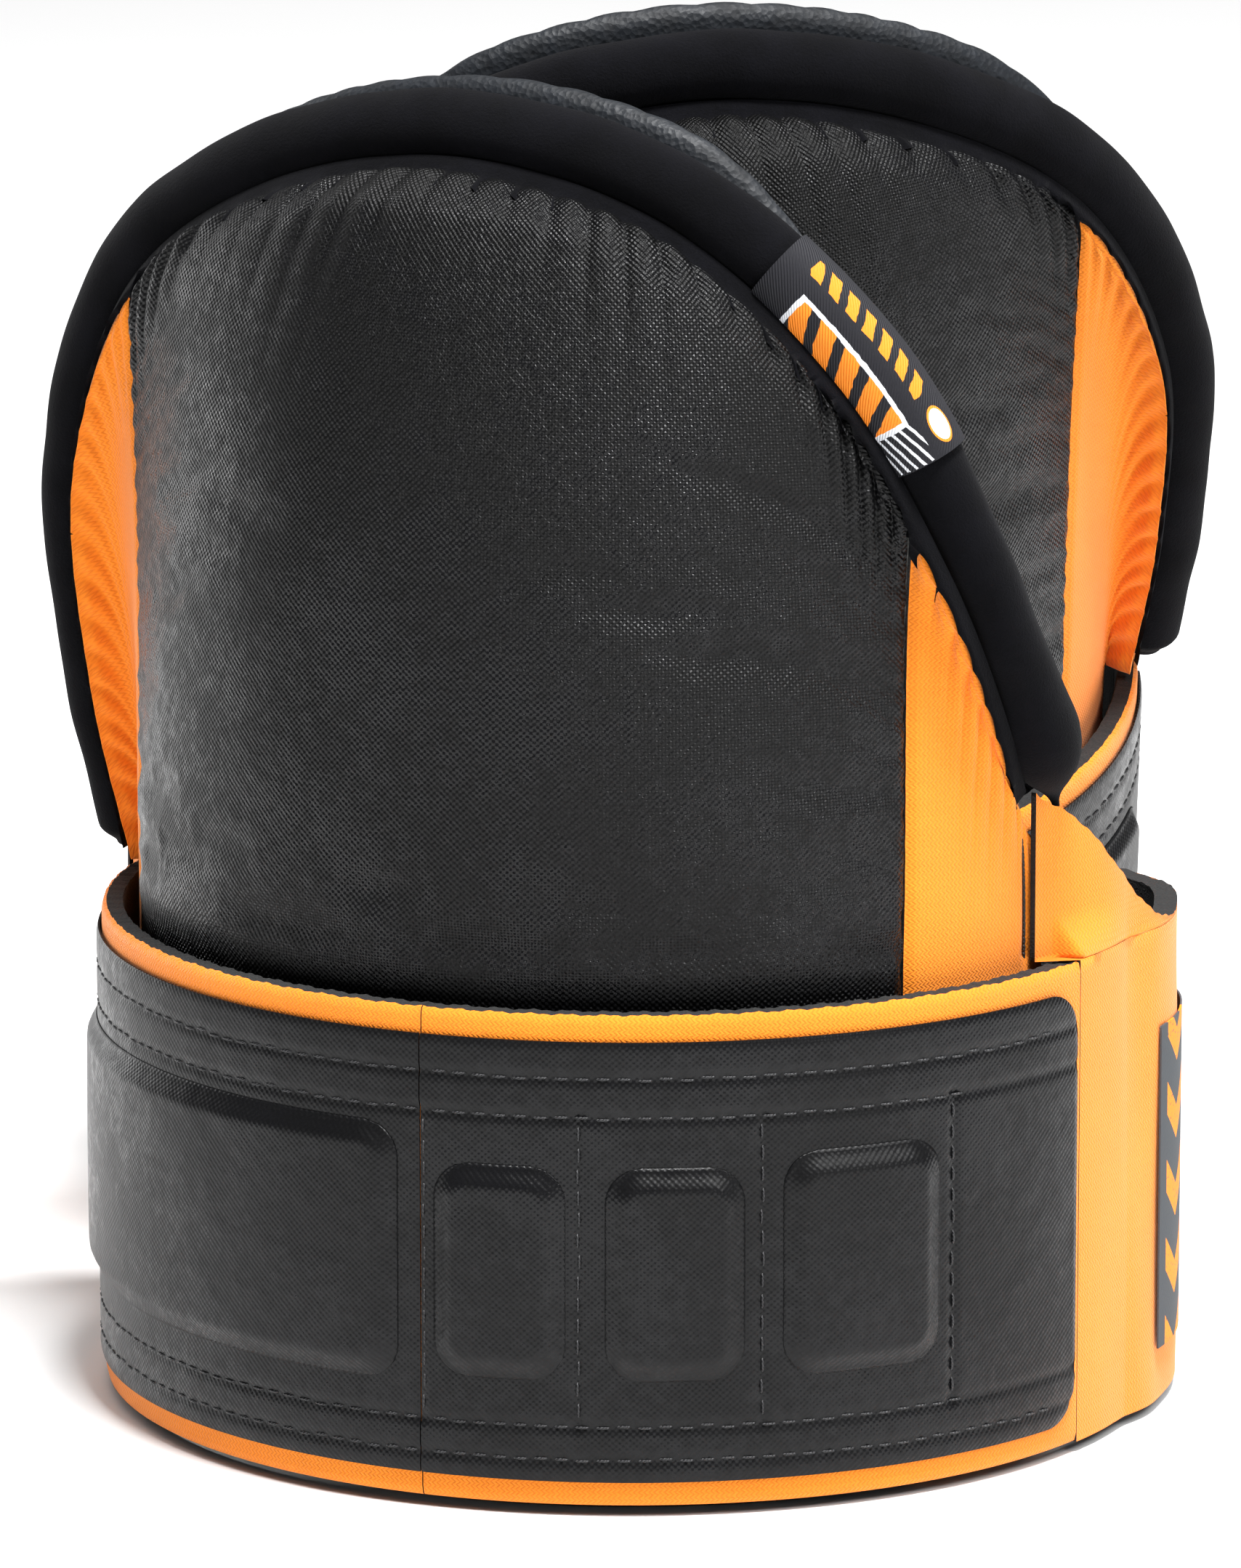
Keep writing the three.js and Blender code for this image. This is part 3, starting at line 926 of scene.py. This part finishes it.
class KNEEPAD_OT_core(Step, bpy.types.Operator):
    """Fill the cushion with foam and close its foot"""

    bl_idname = "knee_pads.core"
    bl_label = "Foam and base"

    def make(self, p, side):
        t, s = columns(-89.5, 89.5, 80), face_rows(8, 30)
        near, far = (cushion_point(t, s, d) for d in (p.cover + 0.5, p.cushion - p.lining - 0.5))
        skins = ("open_foam", "open_foam", "soft_lining")
        foam = sew("foam_core", side, "pad", "foam", near, far, face_uv(t, lengths(near, 1)), *skins)
        t, z = np.linspace(-1, 1, 150)[:, None], BASE_THICK * np.array([0.0, 0.1, 8 / 15, 0.9, 1.0])[None, :]
        angle = column_angle(t)
        round_off = 0.35 * (1 - np.sqrt(np.clip(1 - (2 * z / BASE_THICK - 1) ** 2, 0, 1)))
        near = polar(p.face_radius + 0.2 - round_off, angle, z)
        far = polar(p.face_radius - p.cushion + round_off, angle, z)
        sew("base_panel", side, "pad", "coated_fabric", near, far, face_uv(t, z), "coated_strap")


# The collar's rows: mm across the face from the roll's middle, then out to its near and its far side
COLLAR = (
    (4, -7.3, -9.4),
    (0, -7.5, -10.6),
    (-3.5, -7.4, -11.6),
    (-6.4, -7.5, -11.6),
    (-8.2, -8.4, -10.8),
    (-8.8, -9.3, -9.8),
)


class KNEEPAD_OT_lining(Step, bpy.types.Operator):
    """Line the inside and roll the lining out behind the rim as a soft collar"""

    bl_idname = "knee_pads.lining"
    bl_label = "Knee lining"

    def make(self, p, side):
        t, s = columns(-89.9, 89.9, 260), face_rows(10, 44)
        near, far = cushion_point(t, s, p.cushion - p.lining), cushion_point(t, s, p.cushion)
        wrinkle = 0.5 * ripple(rim_run(t), 13, 21) * np.exp(-((edge_distance(t, s) / 16) ** 2))
        far = far + normals(far) * -wrinkle[..., None]
        flat = t[:, 0]
        top = ease((0.5 - np.abs(flat + 0.05)) / 0.3)  # the collar is full over the top, thin at its sides
        gathered = 0.5 * ripple(rim_run(flat), 9, 33) * top
        near_rows, far_rows = [], []
        for across, near_out, far_out in COLLAR:
            here = min(across, 0) * top + max(across, 0)
            near_rows.append((here, near_out))
            far_rows.append((here - gathered * (across < 0), far_out * (0.84 + 0.16 * top) - gathered))
        near = np.concatenate([near, beside_rows(flat, near_rows)], 1)
        far = np.concatenate([far, beside_rows(flat, far_rows)], 1)
        uv = face_uv(t, lengths(far, 1))
        lining = sew("knee_lining", side, "pad", "lining_leather", near, far, uv, "soft_lining", split=False)


# The scalloped edge's outside, then its inside: depth under the face, and its first rows beside the roll
LIP = ((-0.95, ((5.0, 4.95), (6.5, 6.5))), (-0.35, ((5.3, 4.4), (6.9, 5.9))))
LABEL_SPAN = (0.29, 0.50)


def rolled_binding(p, side):
    """The roll itself: uneven, slimmer beyond the label, swollen and then tapered at its tail."""
    t = np.linspace(-1, 1, 520)
    centre, across, out = rim_frame(t)
    turn = np.linspace(0, 2 * math.pi, ROLL_SIDES, endpoint=False)[None, :]
    run, at = rim_run(t)[:, None], t[:, None]
    lumps = 0.12 * np.sin(run / 5.1 + 2 * np.sin(turn))
    lumps = lumps + 0.10 * np.sin(run / 2.9 - turn + 1) * np.sin(run / 17)
    tail = 1 - 0.9 * ease((at - 0.87) / 0.13) ** 1.2 - 0.4 * ease((-0.975 - at) / 0.025)
    waist = 0.9 * ease((at - 0.48) / 0.1) * ease((0.82 - at) / 0.1)
    swell = 0.7 * np.exp(-(((at - 0.85) / 0.04) ** 2)) - waist
    radius = (p.rim_radius + lumps + swell) * tail
    roll = tube("rim_binding", side, centre, radius, across, out, [finish("brushed_binding")])
    finish_piece(roll, "pad")


def scalloped_lip(p, side):
    """The binding's edge that lies over the gathered fabric."""
    t = np.linspace(-0.985, 0.915, 900)
    width = p.lip * (0.55 + 0.95 * ripple(rim_run(t) + 2, *RIM_GATHERS)) * ease((0.93 - np.abs(t)) / 0.05 + 0.6)
    share = np.linspace(0, 1, 7)[None, :]
    s = edge_rows(t[:, None], share * width[:, None])
    lip = []
    for depth, start in LIP:
        grid = cushion_point(t[:, None], s, depth + 0.3 * share)
        grid = grid + normals(grid) * puff(t[:, None], s)[..., None]
        lip.append(np.concatenate([beside_rows(t, start), grid], 1)[:, ::-1])
    uv = stack(rim_run(t)[:, None], lengths(lip[0], 1))
    sew("rim_lip", side, "pad", "binding_fabric", *lip, uv, "brushed_binding")


def wrapped_label(side):
    """A tape round the roll, open at its back."""
    t = np.linspace(*LABEL_SPAN, 90)
    centre, across, out = rim_frame(t)
    turn = np.radians(np.linspace(-70, 250, 72))
    ring = rings(turn, across, out)
    bulge = 0.18 * np.sin(np.linspace(0, math.pi, 90))[:, None, None]
    outer = centre[:, None] + ring * (7.45 + bulge)
    inner = centre[:, None] + ring * 7.0
    run = rim_run(t) - rim_run(LABEL_SPAN[0])
    uv = stack(run[:, None], 7.4 * (turn[None, :] - math.pi / 2) + 22.8)
    if np.cross(outer[1, 0] - outer[0, 0], outer[0, 1] - outer[0, 0]) @ ring[0, 0] < 0:
        outer, inner, uv = outer[::-1], inner[::-1], uv[::-1]
    sew("rim_label", side, "pad", "label_fabric", outer, inner, uv, "label_tape")


class KNEEPAD_OT_rim(Step, bpy.types.Operator):
    """Roll the binding round the rim, with its scalloped lip on the face and its pointed tail"""

    bl_idname = "knee_pads.rim"
    bl_label = "Rolled rim"

    def make(self, p, side):
        rolled_binding(p, side)
        scalloped_lip(p, side)
        wrapped_label(side)


# ---------------------------------------------------------------- straps

# The strap's outer face behind the leg, seen from above, from its outer side to the inner corner
BACK_PATH = (
    (96.4, 0),
    (98, 12),
    (96, 27),
    (88, 43),
    (70, 53),
    (45, 47),
    (20, 32),
    (-10, 20),
    (-45, 13),
    (-80, 12),
    (-94, 9),
    (-96.4, 3),
    (-96.4, -0.8),
)
ARC_END = 90  # places along the strap: degrees up to here, then hundredths of the back path
STRAP_THICK = 4.2
NEOPRENE = ("orange_knit", "cut_core", "cut_core")
CORNER_ANGLE = -89
FOLD_ANGLE, FOLD_GAP = 0.7, 0.06


def strap_point(where, z, outside):
    """A point of the strap, so far outside its outer face: on the arc, or square to the back path."""
    where, z, outside = np.broadcast_arrays(*(np.asarray(x, float) for x in (where, z, outside)))
    arc = polar(STRAP_OUT + outside, where, z)
    q = np.clip((where - ARC_END) / 100, 0, 1)
    along = slope(BACK_PATH, q)
    path = through(BACK_PATH, q)
    back = stack(path[..., 0] + along[..., 1] * outside, path[..., 1] - along[..., 0] * outside, z)
    return np.where((where <= ARC_END)[..., None], arc, back)


WING_TOPS = (
    (74.3, 121),
    (77, 118.5),
    (80, 116),
    (84, 110.5),
    (88, 104),
    (93, 97),
    (98, 92.6),
    (104, 90.8),
    (124, 90.8),
)
WING_FLUSH = 74.4  # above the strap the wing's front edge lies flat on the side panel here


def wing_top(where):
    """Height of the wing's raw top edge, a smooth curve through its corner heights."""
    dense = through([(x, z) for x, z in WING_TOPS], np.linspace(0, 1, 200))
    return np.interp(where, dense[:, 0], np.maximum(dense[:, 1], 90.7))


def strap_skin(angle, end):
    """Upper edge drop of the coated panel at its rounded free end: a quarter circle."""
    left = np.clip((end - angle) * math.radians(STRAP_OUT), 0, 8)
    return 8 - np.sqrt(np.clip(64 - (8 - left) ** 2, 0, 64))


def strap_uv(angle, z):
    return stack(STRAP_OUT * np.radians(angle) + 200, z)


PANEL_OUT, PANEL_IN = 97.4, 96.75  # radius of the coated panel's two sides
UPRIGHT_SEAMS = (0.7, 17.5, 36.6, 58.5)  # degrees
FLAT_SEAMS = (79.0, 72.0, 16.5, 10.5)  # heights


def seam_sink(angle, z):
    """How deep the panel is drawn in: a soft groove along each line of stitching."""
    sink = 0 * angle + 0 * z
    for height in FLAT_SEAMS:
        sink = sink + 0.34 * np.exp(-(((z - height) / 0.9) ** 2))
    for line in UPRIGHT_SEAMS:
        across = (angle - line) * math.radians(STRAP_OUT)
        sink = sink + 0.4 * np.exp(-((across / 1.0) ** 2)) * ease((z - 15) / 2) * ease((74 - z) / 2)
    return np.minimum(sink, 0.5)


def strap_band(name, side, body, from_angle, to_angle, count):
    """Neoprene band: orange outside, black inside and along its cut edges, its corners a little rounded."""
    p = sizes()
    angle = np.linspace(from_angle, to_angle, count)[:, None]
    share = np.array([0, 0.004, 0.02, 0.045, 0.1, 0.3, 0.5, 0.7, 0.9, 0.955, 0.98, 0.996, 1.0])[None, :]
    z = p.strap_low + (p.strap_top - p.strap_low) * share
    edge = np.minimum(share, 1 - share) * (p.strap_top - p.strap_low)
    soft = 0.9 * (1 - np.sqrt(np.clip(1 - (1 - np.clip(edge / 1.6, 0, 1)) ** 2, 0, 1)))
    ragged = 0.22 * np.sin(angle * 2.9) * np.sin(angle * 1.3 + 1) * (share > 0.9)
    outer = polar(STRAP_OUT - soft, angle, z + ragged)
    inner = polar(STRAP_OUT - STRAP_THICK + 0.4 * soft, angle, z + ragged)
    sew(name, side, body, "orange_neoprene", outer, inner, strap_uv(angle, z), *NEOPRENE)


def strap_panel(name, side, body, from_angle, to_angle, rounded):
    """Coated panel on the strap, drawn in along its stitching, with a rounded free end."""
    p = sizes()
    angle = np.linspace(from_angle, to_angle, 300)[:, None]
    share = np.linspace(0, 1, 110)[None, :]
    drop = strap_skin(angle, to_angle) if rounded else 0 * angle
    low, top = p.strap_low + p.hem + drop, p.strap_top - p.hem - drop
    z = low + (top - low) * share
    border = np.minimum(z - low, top - z)
    if rounded:
        border = np.minimum(border, (to_angle - angle) * math.radians(STRAP_OUT) + 0 * z)
    radius = PANEL_OUT - seam_sink(angle, z) - 0.3 * (1 - ease(border / 1.2))
    outer, inner = polar(radius, angle, z), polar(PANEL_IN, angle, z)
    skins = ("coated_strap", "cut_core", "coated_strap")
    sew(name, side, body, "coated_fabric", outer, inner, strap_uv(angle, z), *skins)


def strap_cell(name, side, body):
    """Padded cell: a rounded rectangle whose height eases up over its border."""
    p = sizes()
    from_angle, to_angle, low, top = CELLS[name]
    per = math.radians(STRAP_OUT)
    half_x, half_z = (to_angle - from_angle) * per / 2 + 1.2, (top - low) / 2 + 1.2
    x = np.linspace(-1, 1, max(40, int(half_x * 2.2)))[:, None]
    z = np.linspace(-1, 1, 64)[None, :]
    corner = 6.5
    # squeeze the grid's corners into round ones: each row is as wide as the rounded box at its height
    bent = np.clip(np.abs(z) * half_z - (half_z - corner), 0, corner)
    wide = half_x - corner + np.sqrt(np.maximum(corner**2 - bent**2, 0.04))
    px, pz = x * wide, z * half_z + 0 * x
    qx, qz = np.abs(px) - (half_x - corner), np.abs(pz) - (half_z - corner)
    inside = corner - np.hypot(np.maximum(qx, 0), np.maximum(qz, 0)) - np.minimum(np.maximum(qx, qz), 0)
    crown = 0.25 * (1 - (px / half_x) ** 2) * (1 - (pz / half_z) ** 2)
    rise = p.cell_rise * ease(inside / 4.2) + crown
    angle = (from_angle + to_angle) / 2 + px / per
    height = (low + top) / 2 + pz
    outer, inner = polar(PANEL_OUT + 0.16 + rise, angle, height), polar(PANEL_OUT + 0.08, angle, height)
    sew(name, side, body, "coated_fabric", outer, inner, strap_uv(angle, height), "coated_strap", split=False)


def dashes(start, stop, pitch):
    """Middles of evenly spaced stitches."""
    count = max(1, int(abs(stop - start) / pitch))
    return start + (stop - start) * (np.arange(count) + 0.5) / count


STITCH_OUT, STITCH_PITCH = 97.15, 3.6


def strap_stitches(name, side, body, from_angle, to_angle):
    """Lockstitch along the flat and upright seams that lie in this half."""
    p = sizes()
    per = math.radians(PANEL_OUT - 0.2)
    rng = np.random.default_rng(17)
    at, along, up = [], [], []
    for z in FLAT_SEAMS:
        stop = min(to_angle, 73) if z in (FLAT_SEAMS[0], FLAT_SEAMS[-1]) else min(to_angle, 60)
        a = dashes(from_angle + 1, stop, STITCH_PITCH / per)
        out = polar(1, a, 0)
        at.append(polar(STITCH_OUT, a, z + rng.normal(0, 0.12, len(a))))
        along.append(np.stack([-out[:, 1], out[:, 0], 0 * a], -1))
        up.append(out)
    for line in UPRIGHT_SEAMS:
        if from_angle - 0.5 <= line <= to_angle:
            z = dashes(17.5, 71, STITCH_PITCH)
            a = line + rng.normal(0, 0.06, len(z)) + (0.45 if line < 1 else 0)
            at.append(polar(STITCH_OUT, a, z))
            along.append(np.tile([0.0, 0, 1], (len(z), 1)))
            up.append(polar(1, a, 0))
    at, along, up = np.concatenate(at), np.concatenate(along), np.concatenate(up)
    piece = stitches(name, side, at, unit(along), up, p.stitch, 0.5, finish("sewing_thread"))
    finish_piece(piece, body)


# The padded cells, in degrees along the strap and mm up it: from, to, bottom, top
CELLS = {
    "strap_long_cell": (-76, -2.5, 24, 68),
    "strap_cell_1": (3, 15.5, 26, 62),
    "strap_cell_2": (21, 34, 26, 62),
    "strap_cell_3": (39.5, 56, 26, 64),
}


def outer_wing(p, side):
    """The orange wing at the pad's outer side: up to the strap's top it follows the strap, and above it (row
    over 1) its raw edge falls back in a curve, its front corner flat on the side panel."""
    share = np.linspace(0, 1, 110)[:, None]
    row = np.concatenate([np.linspace(0, 1, 40), 1 + np.linspace(0.002, 1, 36)])[None, :]
    start = np.where(row <= 1, p.strap_end + 0.12, WING_FLUSH)
    where = start + (ARC_END + 34 - start) * share
    z = np.where(row <= 1, p.strap_low + (p.strap_top + 0.35 - p.strap_low) * row, 0)
    above = p.strap_top + 0.5
    z = np.where(row > 1, above + (wing_top(where) - above) * (row - 1), z)
    ragged = 0.3 * np.sin(where * 2.1) * np.sin(where * 0.9) * (row > 1.9)
    wavy = 0.35 * np.sin(where * 0.35 + z * 0.05) * ease((where - 84) / 10)
    flush = np.maximum(ease((z - 89.5) / 9), (row > 1) * ease((79.5 - where) / 2))
    flush = (1 - ease((where - WING_FLUSH) / 17)) * flush
    outside = wavy - 5.2 * flush
    inside = np.where(where < 91, np.maximum(outside - STRAP_THICK, -6.3), outside - STRAP_THICK)
    outer = strap_point(where, z + ragged, outside)
    inner = strap_point(where, z + ragged, inside)
    uv = stack(lengths(outer, 0) + 400, z)
    sew("outer_wing", side, "pad", "orange_neoprene", outer, inner, uv, *NEOPRENE)


def wing_print(side):
    """The printed patch, a thin skin on the wing."""
    where = np.linspace(98, 117, 60)[:, None]
    z = np.linspace(12, 72, 80)[None, :]
    outer, inner = strap_point(where, z, 0.75), strap_point(where, z, 0.4)
    uv = stack(lengths(outer, 0), z)
    sew("wing_print", side, "pad", "print_grey", outer, inner, uv, "printed_patch")


def calf_strap(p, side):
    """The plain strap behind the leg, a little wavy."""
    where = np.linspace(ARC_END + 34.5, ARC_END + 100, 150)[:, None]
    z = p.strap_low + (p.strap_top - p.strap_low) * np.linspace(0, 1, 26)[None, :]
    wavy = 0.3 * np.sin(where * 0.3) * ease((180 - where) / 20) + 0 * z
    outer, inner = strap_point(where, z, wavy), strap_point(where, z, wavy - STRAP_THICK)
    uv = stack(lengths(outer, 0), z)
    sew("calf_strap", side, "pad", "orange_neoprene", outer, inner, uv, *NEOPRENE)


def front_strap(p, side):
    """Both halves of the front strap, with their coated panels, cells and stitching."""
    span = (CORNER_ANGLE + 0.25, FOLD_ANGLE - FOLD_GAP)
    strap_band("strap_inner_half", side, "strap_inner", *span, 200)
    strap_panel("strap_inner_skin", side, "strap_inner", *span, False)
    strap_cell("strap_long_cell", side, "strap_inner")
    strap_stitches("strap_inner_stitches", side, "strap_inner", *span)
    span = (FOLD_ANGLE + FOLD_GAP, p.strap_end - 1)
    strap_band("strap_tip_half", side, "strap_tip", span[0], p.strap_end, 180)
    strap_panel("strap_tip_skin", side, "strap_tip", *span, True)
    strap_stitches("strap_tip_stitches", side, "strap_tip", *span)
    for n in (1, 2, 3):
        strap_cell(f"strap_cell_{n}", side, "strap_tip")


class KNEEPAD_OT_straps(Step, bpy.types.Operator):
    """Make the wing, the strap behind the leg, and the two halves of the front strap"""

    bl_idname = "knee_pads.straps"
    bl_label = "Straps"

    def make(self, p, side):
        outer_wing(p, side)
        wing_print(side)
        calf_strap(p, side)
        front_strap(p, side)


class KNEEPAD_OT_tape(Step, bpy.types.Operator):
    """Sew the hook tape to the strap's free end and the loop tape to the pad under it"""

    bl_idname = "knee_pads.tape"
    bl_label = "Hook and loop tape"

    def make(self, p, side):
        for name, body, inner, outer, box in (
            ("loop_patch", "pad", 90.0, 90.7, (38, 75, 10, 82)),
            ("hook_patch", "strap_tip", 91.0, 91.8, (41, 76, 14, 78)),
        ):
            angle = np.linspace(box[0], box[1], 60)[:, None]
            z = np.linspace(box[2], box[3], 40)[None, :]
            outside, inside = polar(outer, angle, z), polar(inner, angle, z)
            sew(name, side, body, "hook_tape", outside, inside, stack(90 * np.radians(angle), z), "hook_tape")


class KNEEPAD_OT_stitching(Step, bpy.types.Operator):
    """Stitch the side seam below the rim's tail"""

    bl_idname = "knee_pads.stitching"
    bl_label = "Side stitching"

    def make(self, p, side):
        t = column_of(TAIL_SEAM)
        s = np.linspace(0.02, 0.90, 18)
        at = cushion_point(t, s, 0.35)
        along = unit(np.gradient(at, axis=0))
        across = polar(1, TAIL_SEAM + 90, 0)
        up = unit(np.cross(along, across))
        up = np.where((up[..., 1:2] > 0), -up, up)
        piece = stitches("side_stitches", side, at, along, up, p.stitch, 0.55, finish("sewing_thread"))
        finish_piece(piece, "pad")


# ---------------------------------------------------------------- stage


class KNEEPAD_OT_stage(bpy.types.Operator):
    """Lay a pale floor, hang soft lights and set the camera"""

    bl_idname = "knee_pads.stage"
    bl_label = "Floor, lights and camera"

    def execute(self, context):
        scene = context.scene
        mesh = bpy.data.meshes.new("floor")
        mesh.from_pydata([(-6, -6, 0), (6, -6, 0), (6, 6, 0), (-6, 6, 0)], [], [(0, 1, 2, 3)])
        mesh.materials.append(finish("plain_floor"))
        linked("floor", mesh)

        world = bpy.data.worlds.new("studio")
        world.use_nodes = True
        tree = world.node_tree
        ambient = tree.nodes["Background"]
        ambient.inputs["Color"].default_value = (1, 1, 1, 1)
        ambient.inputs["Strength"].default_value = 0.12
        backdrop = tree.nodes.new("ShaderNodeBackground")
        backdrop.inputs["Strength"].default_value = 0.95
        seen = tree.nodes.new("ShaderNodeLightPath")
        blend = tree.nodes.new("ShaderNodeMixShader")
        tree.links.new(seen.outputs["Is Camera Ray"], blend.inputs[0])
        tree.links.new(ambient.outputs[0], blend.inputs[1])
        tree.links.new(backdrop.outputs[0], blend.inputs[2])
        tree.links.new(blend.outputs[0], tree.nodes["World Output"].inputs["Surface"])
        scene.world = world
        scene.view_settings.view_transform = "Standard"

        leg = Vector(LEFT_AXIS)
        middle = leg + Vector((0, 0, 0.11))
        sky = linked("overhead", bpy.data.lights.new("overhead", "SUN"))
        sky.data.energy, sky.data.angle = 2.3, math.radians(70)
        sky.rotation_euler = (math.radians(-14), math.radians(8), 0)
        for name, offset, across, tall, power in (
            ("left_softbox", (-1.25, 0.55, 0.35), 0.45, 1.0, 5),
            ("right_softbox", (1.2, -0.35, 1.05), 0.35, 0.5, 11),
            ("upper_softbox", (0.35, -0.35, 1.5), 0.45, 0.25, 50),
        ):
            light = bpy.data.lights.new(name, "AREA")
            light.shape, light.size, light.size_y, light.energy = "RECTANGLE", across, tall, power
            lamp = linked(name, light)
            lamp.location = middle + Vector(offset)
            lamp.rotation_euler = (-Vector(offset)).to_track_quat("-Z", "Y").to_euler()

        bearing, away, up, aim, sideways = math.radians(23), 1.842, 0.506, 0.1105, 0.002
        eye = leg + Vector((math.sin(bearing) * away, -math.cos(bearing) * away, up))
        target = leg + Vector((0, 0, aim))
        look = (target - eye).normalized()
        target -= sideways * look.cross(Vector((0, 0, 1))).normalized()
        camera = bpy.data.cameras.new("camera")
        camera.sensor_fit, camera.sensor_height = "VERTICAL", 36
        camera.lens = 238.1
        camera.clip_end = 50
        scene.camera = linked("camera", camera)
        scene.camera.location = eye
        scene.camera.rotation_euler = (target - eye).to_track_quat("-Z", "Y").to_euler()
        return {"FINISHED"}


STEPS = (
    KNEEPAD_OT_stage,
    KNEEPAD_OT_core,
    KNEEPAD_OT_face,
    KNEEPAD_OT_lining,
    KNEEPAD_OT_rim,
    KNEEPAD_OT_straps,
    KNEEPAD_OT_tape,
    KNEEPAD_OT_stitching,
)


class KNEEPAD_PT_panel(bpy.types.Panel):
    """Lists the steps and the sizes"""

    bl_idname = "KNEEPAD_PT_panel"
    bl_label = "Knee pads"
    bl_space_type = "VIEW_3D"
    bl_region_type = "UI"
    bl_category = "Knee pads"

    def draw(self, context):
        for step in STEPS:
            self.layout.operator(step.bl_idname)
        for group in (context.scene.knee_pad_sizes, context.scene.knee_pad_colours):
            for name in group.__annotations__:
                self.layout.prop(group, name)


CLASSES = (PadSizes, PadColours, *STEPS, KNEEPAD_PT_panel)


def register():
    for c in CLASSES:
        bpy.utils.register_class(c)
    bpy.types.Scene.knee_pad_sizes = bpy.props.PointerProperty(type=PadSizes)
    bpy.types.Scene.knee_pad_colours = bpy.props.PointerProperty(type=PadColours)


def unregister():
    del bpy.types.Scene.knee_pad_colours
    del bpy.types.Scene.knee_pad_sizes
    for c in reversed(CLASSES):
        bpy.utils.unregister_class(c)


def main():
    register()
    for step in STEPS:
        area, name = step.bl_idname.split(".")
        getattr(getattr(bpy.ops, area), name)()
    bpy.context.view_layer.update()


if __name__ == "__main__":
    main()
